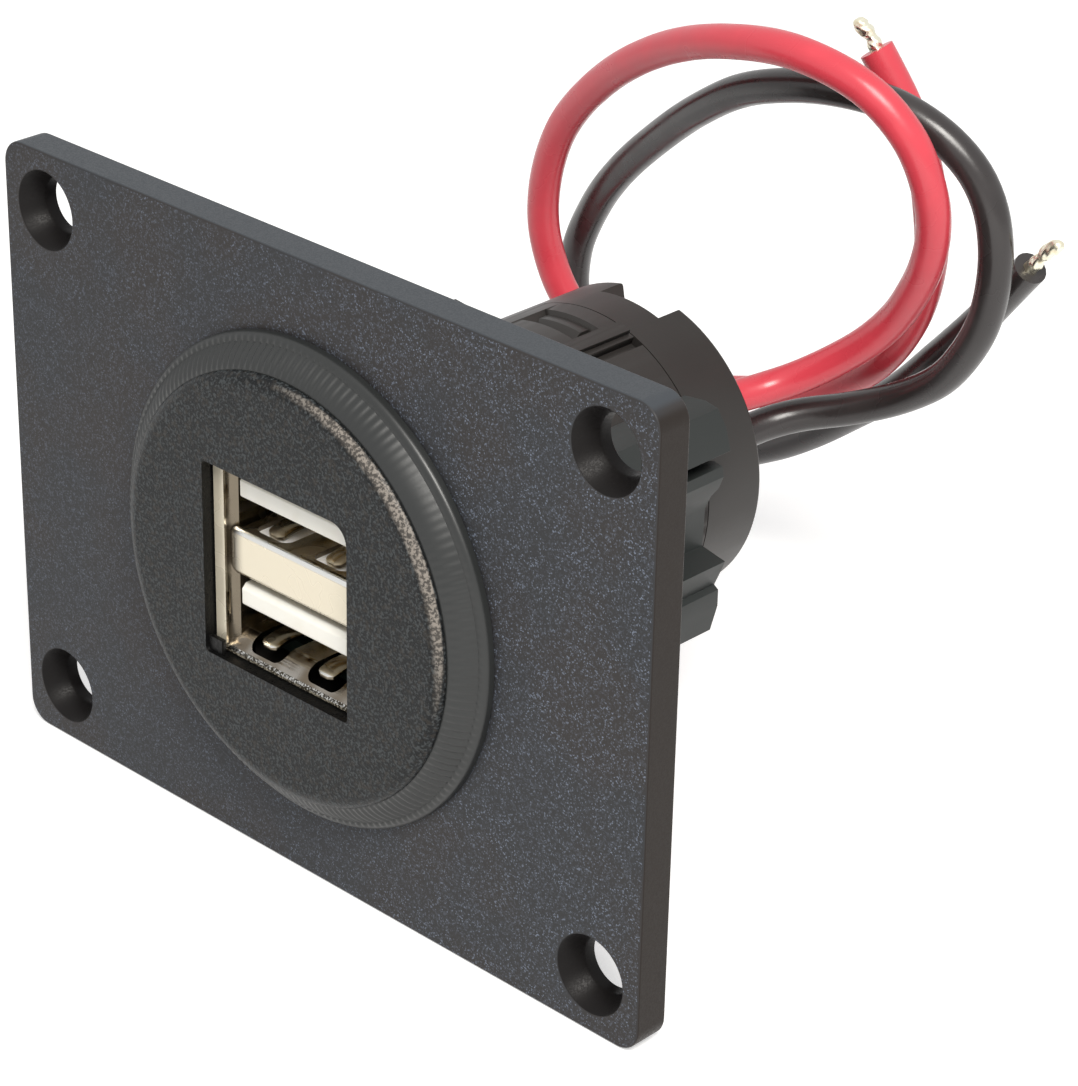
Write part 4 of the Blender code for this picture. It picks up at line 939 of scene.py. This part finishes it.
class SOCKET_OT_barrel(bpy.types.Operator):
    """Build the threaded barrel with its flange, snap windows, guide rib and key groove"""

    bl_idname = "power_socket.barrel"
    bl_label = "Threaded Barrel"

    def execute(self, context):
        sizes = context.scene.power_socket.barrel
        profile = [(BARREL_BORE, FLANGE_FRONT)]
        profile += quarter_round((FLANGE_RADIUS, FLANGE_FRONT), (-1, 0), (0, 1), 0.0002)
        profile += [(FLANGE_RADIUS, FLANGE_BACK), (BARREL_RADIUS, FLANGE_BACK), (BARREL_RADIUS, THREAD_FRONT)]
        rows_in_turn = 10
        rows = round((THREAD_BACK - THREAD_FRONT) / sizes.thread_pitch * rows_in_turn)
        for row in range(1, rows):
            y = THREAD_FRONT + (THREAD_BACK - THREAD_FRONT) * (row / rows)
            fade = min(1.0, row / rows_in_turn, (1 - row / rows) * rows / rows_in_turn)
            profile.append((thread_radius(sizes.thread_depth, sizes.thread_pitch, y, fade), y))
        profile += [(BARREL_RADIUS, THREAD_BACK), (BARREL_RADIUS, BARREL_LENGTH)]
        profile.append((BARREL_BORE, BARREL_LENGTH))
        outside = BARREL_RADIUS + 0.0015

        def snap_window():
            return arc_block(BARREL_BORE - SLIDING_GAP, outside, SNAP_ANGLES, *SNAP_DEPTHS)

        groove_floor = BARREL_RADIUS - sizes.groove_depth
        groove = arc_block(groove_floor, outside, GROOVE_ANGLES, GROOVE_FRONT, BARREL_LENGTH + 0.002)
        rib_root = BARREL_RADIUS - 0.00075
        rib_top = BARREL_RADIUS + sizes.rib_height
        rib = arc_block(rib_root, rib_top, RIB_ANGLES, RIB_FRONT, BARREL_LENGTH - SEAT_GAP)
        changes = [(CUT, snap_window()), (CUT, opposite(snap_window())), (CUT, groove), (JOIN, rib)]
        barrel = edged(carved(turned(profile, 144), changes), 0.00007)
        material = smooth_moulding("barrel_black", sizes.colour, 0.42)
        finished("barrel_threaded", barrel, material, "body_plastic", "socket_body")
        return {"FINISHED"}


def lead_slot(width, front, back):
    """An upright slot shape round the pair of leads."""
    outline = rounded_rectangle(width, LEAD_PITCH + width, [width / 2] * 4, (0.0, LEAD_PAIR_Z), 12)
    return prism(outline, front, back)


class SOCKET_OT_rear_cap(bpy.types.Operator):
    """Build the rear cap with its snap hooks, and the grommet that the leads pass through"""

    bl_idname = "power_socket.rear_cap"
    bl_label = "Rear Cap"

    def execute(self, context):
        sizes = context.scene.power_socket.barrel
        rim_inner = BARREL_RADIUS - 0.0013
        centre_hole = 0.0014
        spigot_inner = SPIGOT_RADIUS - 0.0010
        spigot_front = BARREL_LENGTH - 0.0014
        seam = BARREL_LENGTH + SEAT_GAP
        profile = [(BARREL_RADIUS, seam)]
        profile += quarter_round((BARREL_RADIUS, REAR_RIM), (0, -1), (-1, 0), 0.0003)
        profile += [
            (rim_inner, REAR_RIM),
            (rim_inner, REAR_WALL_BACK),
            (centre_hole, REAR_WALL_BACK),
            (centre_hole, REAR_WALL_FRONT),
            (spigot_inner, REAR_WALL_FRONT),
            (spigot_inner, spigot_front),
            (SPIGOT_RADIUS, spigot_front),
            (SPIGOT_RADIUS, seam),
        ]
        angles = (SNAP_ANGLES[0] + 1.5, SNAP_ANGLES[1] - 1.5)
        hook_angles = (SNAP_ANGLES[0] + 3.0, SNAP_ANGLES[1] - 3.0)
        hook_back = SNAP_DEPTHS[1] - SLIDING_GAP
        hook_front = hook_back - 0.0016
        arm_inner = spigot_inner + 0.00005
        arm_outer = SPIGOT_RADIUS - 0.00005

        def arm():
            return arc_block(arm_inner, arm_outer, angles, hook_front - 0.0009, spigot_front + 0.0007)

        def hook():
            """A ramp that rises towards the back, where it catches the window's edge."""
            low = (arm_inner + arm_outer) / 2
            top = BARREL_RADIUS - SLIDING_GAP
            sections = []
            for y, outer in ((hook_front, top - 0.0005), (hook_front + 0.0006, top), (hook_back, top)):
                outline = arc_points(outer, *hook_angles) + arc_points(low, *reversed(hook_angles))
                sections.append(at_depth(outline, y))
            return loft(sections)

        past = 0.0013
        notch_front = REAR_WALL_BACK + SEAT_GAP
        notch = arc_block(rim_inner - past, BARREL_RADIUS + past, NOTCH_ANGLES, notch_front, REAR_RIM + past)
        changes = [(CUT, notch)]
        changes += [(JOIN, arm()), (JOIN, hook()), (JOIN, opposite(arm())), (JOIN, opposite(hook()))]
        changes.append((CUT, lead_slot(0.0050, REAR_WALL_FRONT - 0.0016, REAR_WALL_BACK + 0.0016)))
        cap = edged(carved(turned(profile, 144), changes), 0.00007)
        material = smooth_moulding("rear_cap_black", sizes.colour, 0.38)
        finished("rear_cap_snapped", cap, material, "body_plastic", "rear_cap")

        back = REAR_WALL_BACK + SEAT_GAP
        hole = context.scene.power_socket.leads.diameter / 2 + LEAD_CLEARANCE
        levels = ((REAR_WALL_FRONT - 0.002, hole), (back + 0.003, hole))
        changes = [(JOIN, lead_slot(0.0066, back, back + GROMMET_COLLAR))]
        for side in (-1, 1):
            centre = (0.0, LEAD_PAIR_Z + side * LEAD_PITCH / 2)
            changes.append((CUT, round_bar(levels, centre, 48)))
        core = lead_slot(0.0048, REAR_WALL_FRONT, back + GROMMET_COLLAR)
        grommet = edged(carved(core, changes), 0.00018, 3)
        rubber = smooth_moulding("grommet_rubber", (0.022, 0.022, 0.022), 0.62, 0.00001)
        finished("grommet_moulded", grommet, rubber, "grommet_rubber", "lead_grommet")
        return {"FINISHED"}


class SOCKET_OT_nut(bpy.types.Operator):
    """Build the clamp nut with its two grip wings"""

    bl_idname = "power_socket.nut"
    bl_label = "Clamp Nut"

    def execute(self, context):
        sizes = context.scene.power_socket.barrel
        past = 0.01

        def grip():
            outline = [polar(radius, angle) for angle, radius in GRIP_OUTLINE]
            outline += arc_points(NUT_BORE / 2, GRIP_OUTLINE[-1][0], GRIP_OUTLINE[0][0], 4.0)
            return prism(outline, NUT_FRONT + SEAT_GAP, NUT_BACK)

        ring = round_bar(((NUT_FRONT, NUT_RADIUS), (NUT_RING_BACK, NUT_RADIUS)), steps=180)
        bore = round_bar(((NUT_FRONT - past, NUT_BORE), (NUT_BACK + past, NUT_BORE)), steps=144)
        nut = edged(carved(ring, [(JOIN, grip()), (JOIN, opposite(grip())), (CUT, bore)]), 0.00025, 3, 25.0)
        material = smooth_moulding("nut_grey_green", sizes.nut_colour, 0.46)
        finished("nut_winged", nut, material, "nut_plastic", "clamp_nut")
        return {"FINISHED"}


def mouth_sides(depth):
    """How far the mouth's left and right walls stand from the middle at a depth behind the shell's face."""
    inner = PORT_WIDTH / 2
    ease = min(1.0, 2.0 * depth / MOUTH_DEPTH) ** 3
    return MOUTH_LEFT + (inner - MOUTH_LEFT) * ease, MOUTH_RIGHT + (inner - MOUTH_RIGHT) * ease


def mouth_cavity(top):
    """The space inside the shell, which narrows from its mouth to the ports."""
    inner = PORT_WIDTH / 2
    levels = [(SHELL_FACE - 0.001, MOUTH_LEFT, MOUTH_RIGHT, INNER_BOTTOM - MOUTH_DROP, top)]
    steps = 12
    for step in range(steps + 1):
        share = step / steps
        left, right = mouth_sides(MOUTH_DEPTH * share)
        bottom = INNER_BOTTOM - MOUTH_DROP * (1.0 - share) ** 1.7
        high = top + (INNER_TOP - top) * math.sin(math.pi / 2 * min(1.0, share * 2.0))
        levels.append((SHELL_FACE + MOUTH_DEPTH * share, left, right, bottom, high))
    levels.append((SHELL_BACK + 0.001, inner, inner, INNER_BOTTOM, INNER_TOP))
    sections = []
    for y, left, right, bottom, high in levels:
        sections.append([(-left, y, bottom), (right, y, bottom), (right, y, high), (-left, y, high)])
    return loft(sections)


def divider_plan(back, inset):
    """(x, y) points of the divider from above: flared ends in the mouth, and long round corners in front."""
    gap = 0.00007
    corner_width, corner_depth = 0.00095, 0.00035
    left, right = [], []
    for y in (back - inset, SHELL_FACE + MOUTH_DEPTH / 2, SHELL_FACE + MOUTH_DEPTH * 0.4):
        sides = mouth_sides(y - SHELL_FACE)
        left.append((inset + gap - sides[0], y))
        right.append((sides[1] - inset - gap, y))
    middle = DIVIDER_FRONT + corner_depth
    sides = mouth_sides(middle - SHELL_FACE)
    for near, far in rounding(1.0, 8):
        aside = corner_width * far + inset + gap
        y = middle - (corner_depth - inset) * (1.0 - near)
        left.append((aside - sides[0], y))
        right.append((sides[1] - aside, y))
    return left + right[::-1]


def divider_block(back):
    levels = rounding(DIVIDER_ROLL, 6)
    heights = [(DIVIDER_BOTTOM + drop, inset) for inset, drop in levels]
    heights += [(DIVIDER_TOP - drop, inset) for inset, drop in reversed(levels)]
    return loft([[(x, y, z) for x, y in divider_plan(back, inset)] for z, inset in heights])


def floor_slot(x, front, low, high, sizes):
    """The opening round a spring finger in a port's floor, rounded at its front."""
    corners = [0.0003, 0.0003, 0.0008, 0.0008]
    outline = rounded_rectangle(sizes.slot_width, SLOT_LENGTH, corners, (x, front + SLOT_LENGTH / 2), 6)
    return extruded([(px, py, low) for px, py in outline], (0.0, 0.0, high - low))


def spring_finger(x, front, floor, sizes):
    """A tapered strip that arches up from the back of its slot and dips to a rounded tip at the front."""
    thickness = SHELL_WALL * 0.6
    root = front + SLOT_LENGTH + SHELL_WALL
    tip = front + SHELL_WALL
    steps = 24
    sections = []
    for step in range(steps + 1):
        share = step / steps
        y = root + (tip - root) * share
        top = floor - 0.00003 + sizes.finger_rise * math.sin(math.pi * share**1.4)
        narrowing = math.sqrt(max(0.2, 1.0 - max(0.0, (share - 0.92) / 0.09) ** 2))
        half = sizes.finger_width * (1.0 - 0.15 * share) / 2 * narrowing
        low = top - thickness
        sections.append([(x - half, y, low), (x + half, y, low), (x + half, y, top), (x - half, y, top)])
    return loft(sections)


def finger_changes(front, low, floor, sizes):
    """The changes that give a port's floor its two slots and spring fingers."""
    changes = []
    for x in (-FINGER_OFFSET, FINGER_OFFSET):
        changes.append((CUT, floor_slot(x, front, low, floor + SHELL_WALL, sizes)))
        changes.append((JOIN, spring_finger(x, front, floor, sizes)))
    return changes


def tongue(port_z):
    """A port's blade on the block that carries it, with a groove for each contact."""
    front = SHELL_FACE + 0.0005
    root = front + TONGUE_LENGTH
    top = port_z + PORT_HEIGHT / 2 - TONGUE_TOP_GAP
    bottom = top - TONGUE_THICKNESS
    half = TONGUE_WIDTH / 2
    nose, chin = 0.0004, 0.0002
    outline = ((front + nose, top), (front, top - nose), (front, bottom + chin), (front + chin, bottom))
    outline += ((root + SHELL_WALL, bottom), (root + SHELL_WALL, top))
    block_half = half + 0.0006
    block_rise = PORT_HEIGHT / 2 - 0.0001
    block = box(
        (-block_half, block_half), (root, SHELL_BACK - SHELL_WALL), (port_z - block_rise, port_z + block_rise)
    )
    changes = [(JOIN, block)]
    groove_half = 0.0006
    for x in CONTACT_PLACES:
        depths = (front + 0.0010, SHELL_BACK + SHELL_WALL)
        groove = box((x - groove_half, x + groove_half), depths, (bottom - 0.0004, bottom + 0.00025))
        changes.append((CUT, groove))
    blade = extruded([(-half, y, z) for y, z in outline], (2 * half + TONGUE_PAST_RIGHT, 0.0, 0.0))
    return edged(carved(blade, changes), 0.0001, 3)


class SOCKET_OT_ports(bpy.types.Operator):
    """Build the double port's shell, divider and tongues"""

    bl_idname = "power_socket.ports"
    bl_label = "USB Ports"

    def execute(self, context):
        sizes = context.scene.power_socket.ports
        sheet = plated_sheet(sizes.sheet_colour)
        white = white_moulding(sizes.tongue_colour)
        wall = SHELL_WALL
        lip_top = WINDOW_CENTRE[1] + WINDOW_HEIGHT / 2 - LIP_GAP
        lip_back = SHELL_FACE + 0.0005
        outer = PORT_WIDTH / 2 + wall
        body_front = CAP_BACK + SEAT_GAP
        body = box((-outer, outer), (body_front, SHELL_BACK), (INNER_BOTTOM - wall, INNER_TOP + wall))
        neck_half = MOUTH_RIGHT + wall / 4
        neck = box(
            (-neck_half, neck_half),
            (lip_back - wall / 2, body_front + wall / 2),
            (INNER_BOTTOM - wall * 0.75 - MOUTH_DROP, lip_top - wall / 8),
        )
        lip = prism(window_outline(LIP_GAP), SHELL_FACE, lip_back)
        changes = [(JOIN, lip), (JOIN, neck), (CUT, mouth_cavity(lip_top - wall))]
        changes += finger_changes(LOWER_SLOT_FRONT, INNER_BOTTOM - MOUTH_DROP - wall, INNER_BOTTOM, sizes)
        shell = edged(carved(body, changes), 0.00005)
        finished("port_shell", shell, sheet, "nickel_plate", "usb_shell")

        back = SHELL_BACK - wall
        hollow_half = PORT_WIDTH / 2 - 0.0001 - wall
        hollow = box(
            (-hollow_half, hollow_half),
            (DIVIDER_FRONT + DIVIDER_ROLL + wall, back + wall),
            (DIVIDER_BOTTOM + wall, DIVIDER_TOP - 2 * wall),
        )
        changes = [(CUT, hollow)] + finger_changes(UPPER_SLOT_FRONT, DIVIDER_TOP - wall, DIVIDER_TOP, sizes)
        divider = edged(carved(divider_block(back), changes), 0.00005)
        finished("divider_sheet", divider, sheet, "nickel_plate", "port_divider")

        for name, port_z in (("upper_tongue", UPPER_PORT_Z), ("lower_tongue", LOWER_PORT_Z)):
            finished(name + "_blade", tongue(port_z), white, "white_insulator", name)
        return {"FINISHED"}


class SOCKET_OT_inside(bpy.types.Operator):
    """Finish the contacts, the circuit board and what it carries"""

    bl_idname = "power_socket.inside"
    bl_label = "Inner Pieces"

    def execute(self, context):
        finishes = {
            "pin_spacer": inner_finish("spacer_white", (0.78, 0.76, 0.70), 0.4),
            "circuit_board": inner_finish("board_green", (0.002, 0.009, 0.005), 0.5),
            "inductor": inner_finish("ferrite_dark", (0.06, 0.06, 0.06), 0.6),
            "input_capacitor": inner_finish("can_bright", (0.72, 0.72, 0.74), 0.3, 1.0),
            "output_capacitor": inner_finish("can_bright_2", (0.72, 0.72, 0.74), 0.3, 1.0),
            "controller_chip": inner_finish("epoxy_black", (0.02, 0.02, 0.02), 0.5),
            "diode": inner_finish("epoxy_black_2", (0.02, 0.02, 0.02), 0.5),
        }
        gold = inner_finish("contact_gold", (0.85, 0.62, 0.28), 0.25, 1.0)
        for row in ("upper", "lower"):
            for index in range(1, 5):
                finishes[f"{row}_contact_{index}"] = gold
        for node, material in finishes.items():
            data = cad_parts[node].data
            data.materials.clear()
            data.materials.append(material)
        return {"FINISHED"}


def strand_tube(points, radius):
    """A bundle of twisted strands along a line, run together by solder, as a closed mesh."""
    lobes, turns, sides = 5, 0.8, 28
    sections = []
    side = Vector((0.3, 1.0, 0.2))
    total = line_length(points)
    done = 0.0
    for index, point in enumerate(points):
        before = points[max(0, index - 1)]
        after = points[min(len(points) - 1, index + 1)]
        heading = (after - before).normalized()
        side = (side - heading * side.dot(heading)).normalized()
        up = heading.cross(side)
        if index:
            done += (point - points[index - 1]).length
        share = done / total
        lump = 1.0 + 0.12 * math.sin(share * 11.0) + 0.08 * math.sin(share * 23.0 + 1.0)
        end = math.sqrt(max(0.0, 1.0 - max(0.0, (share - 0.93) / 0.07) ** 2)) * 0.9 + 0.1
        loop = []
        for step in range(sides):
            angle = math.tau * step / sides
            lobe = 1.0 + 0.06 * math.cos(lobes * (angle + turns * math.tau * share))
            size = radius * lump * end * lobe
            loop.append(point + (side * math.cos(angle) + up * math.sin(angle)) * size)
        sections.append(loop)
    return loft(sections)


class SOCKET_OT_leads(bpy.types.Operator):
    """Build the two leads with their tinned ends"""

    bl_idname = "power_socket.leads"
    bl_label = "Leads"

    def execute(self, context):
        sizes = context.scene.power_socket.leads
        tin = tinned_wire(sizes.tin)
        for name, route, bend, tint, roughness in (
            ("red", RED_LEAD_ROUTE, RED_TIP_BEND, sizes.red, 0.28),
            ("black", BLACK_LEAD_ROUTE, BLACK_TIP_BEND, sizes.black, 0.25),
        ):
            middle = [[value * ROUTE_UNIT for value in point] for point in route]
            points = evenly_spaced(smooth_curve(middle), 0.0008)
            curve = bpy.data.curves.new(name + "_lead_jacket", "CURVE")
            curve.dimensions = "3D"
            curve.bevel_depth = sizes.diameter / 2
            curve.bevel_resolution = 8
            curve.use_fill_caps = True
            spline = curve.splines.new("POLY")
            spline.points.add(len(points) - 1)
            for target, point in zip(spline.points, points):
                target.co = (*point, 1.0)
            jacket = linked(name + "_lead_jacket", curve)
            end = points[-1]
            heading = (end - points[-2]).normalized()
            line = [end - heading * 0.0004] + [end + heading * 0.0003 + Vector(offset) for offset in bend]
            strands = evenly_spaced(smooth_curve(line), 0.00008)
            tip = shaded(solid(strand_tube(strands, sizes.tip_diameter / 2)), 50.0)
            finished(name + "_lead_strands", tip, tin, "tinned_strands", name + "_lead_tip")
            material = lead_jacket(name + "_jacket", tint, roughness)
            finished(name + "_lead_jacket", jacket, material, name + "_jacket", name + "_lead")
        return {"FINISHED"}


# Studio


def seen_white(tree):
    """A value of 1 for what the camera sees straight on or in gloss or glass, and of 0 for other light."""
    rays = add(tree, "ShaderNodeLightPath").outputs
    seen = maths(tree, "MAXIMUM", rays["Is Camera Ray"], rays["Is Glossy Ray"])
    return maths(tree, "MAXIMUM", seen, rays["Is Transmission Ray"])


class SOCKET_OT_studio(bpy.types.Operator):
    """Build the floor, the lamp, the sky and the camera"""

    bl_idname = "power_socket.studio"
    bl_label = "Studio"

    def execute(self, context):
        scene = context.scene
        sizes = scene.power_socket.studio
        reach = 3.0
        corners = [(-reach, -reach), (reach, -reach), (reach, reach), (-reach, reach)]
        floor_z = PLATE_LOW[2] - 0.00005
        mesh = bpy.data.meshes.new("floor")
        mesh.from_pydata([(x, y, floor_z) for x, y in corners], [], [(0, 1, 2, 3)])
        floor = linked("floor", mesh)
        material = bpy.data.materials.new("floor_white")
        material.use_nodes = True
        tree = material.node_tree
        tree.nodes.clear()
        diffuse = add(tree, "ShaderNodeBsdfDiffuse", {"Color": (*sizes.floor_colour, 1.0)})
        strength = maths(tree, "MULTIPLY", seen_white(tree), FLOOR_GLOW)
        glow = add(tree, "ShaderNodeEmission", {"Strength": strength})
        total = add(tree, "ShaderNodeAddShader", {0: diffuse.outputs[0], 1: glow.outputs[0]})
        add(tree, "ShaderNodeOutputMaterial", {"Surface": total.outputs[0]})
        mesh.materials.append(material)

        world = bpy.data.worlds.new("sky")
        scene.world = world
        world.use_nodes = True
        tree = world.node_tree
        background = tree.nodes["Background"].inputs
        background["Color"].default_value = (1.0, 1.0, 1.0, 1.0)
        strengths = {"Factor": seen_white(tree), "A": sizes.sky, "B": 1.0}
        mixed = add(tree, "ShaderNodeMix", strengths, data_type="FLOAT")
        tree.links.new(mixed.outputs["Result"], background["Strength"])

        light = bpy.data.lights.new("lamp_above", "AREA")
        light.shape = "RECTANGLE"
        light.size = light.size_y = LAMP_SIZE
        light.energy = sizes.key
        light.color = LAMP_TONE
        lamp = linked("lamp_above", light)
        lamp.location = LAMP_PLACE
        lamp.rotation_euler = (LAMP_TARGET - LAMP_PLACE).to_track_quat("-Z", "Y").to_euler()

        data = bpy.data.cameras.new("camera")
        data.lens = FOCAL_LENGTH
        data.sensor_width = SENSOR
        data.clip_start = 0.01
        data.clip_end = 20.0
        camera = linked("camera", data)
        turn = Matrix((VIEW_RIGHT, VIEW_UP, VIEW_BACK)).transposed().to_4x4()
        camera.matrix_world = Matrix.Translation(EYE) @ turn
        scene.camera = camera
        scene.view_settings.view_transform = "Standard"
        return {"FINISHED"}


class SOCKET_PT_panel(bpy.types.Panel):
    """Lists the sizes, colours and steps of the power socket"""

    bl_idname = "SOCKET_PT_panel"
    bl_label = "Power Socket"
    bl_space_type = "VIEW_3D"
    bl_region_type = "UI"
    bl_category = "Power Socket"

    def draw(self, context):
        settings = context.scene.power_socket
        for group_name, operators in PANEL_ROWS:
            group = getattr(settings, group_name)
            area = self.layout.box()
            for name in group.bl_rna.properties.keys():
                if name not in ("rna_type", "name"):
                    area.prop(group, name)
            for operator in operators:
                area.operator(operator.bl_idname)


PANEL_ROWS = (
    ("plate", (SOCKET_OT_plate,)),
    ("bezel", (SOCKET_OT_bezel, SOCKET_OT_cap)),
    ("barrel", (SOCKET_OT_barrel, SOCKET_OT_rear_cap, SOCKET_OT_nut)),
    ("ports", (SOCKET_OT_ports, SOCKET_OT_inside)),
    ("leads", (SOCKET_OT_leads,)),
    ("studio", (SOCKET_OT_studio,)),
)
GROUPS = (PlateSettings, BezelSettings, BarrelSettings, PortSettings, LeadSettings, StudioSettings)
OPERATORS = [operator for _, operators in PANEL_ROWS for operator in operators]
CLASSES = (*GROUPS, SocketSettings, *OPERATORS, SOCKET_PT_panel)


def register():
    for item in CLASSES:
        bpy.utils.register_class(item)
    bpy.types.Scene.power_socket = PointerProperty(type=SocketSettings)


def unregister():
    del bpy.types.Scene.power_socket
    for item in reversed(CLASSES):
        bpy.utils.unregister_class(item)


def main():
    register()
    bpy.ops.power_socket.studio()
    bpy.ops.power_socket.leads()
    bpy.ops.power_socket.plate()
    bpy.ops.power_socket.bezel()
    bpy.ops.power_socket.cap()
    bpy.ops.power_socket.barrel()
    bpy.ops.power_socket.rear_cap()
    bpy.ops.power_socket.nut()
    bpy.ops.power_socket.ports()
    bpy.ops.power_socket.inside()


if __name__ == "__main__":
    main()
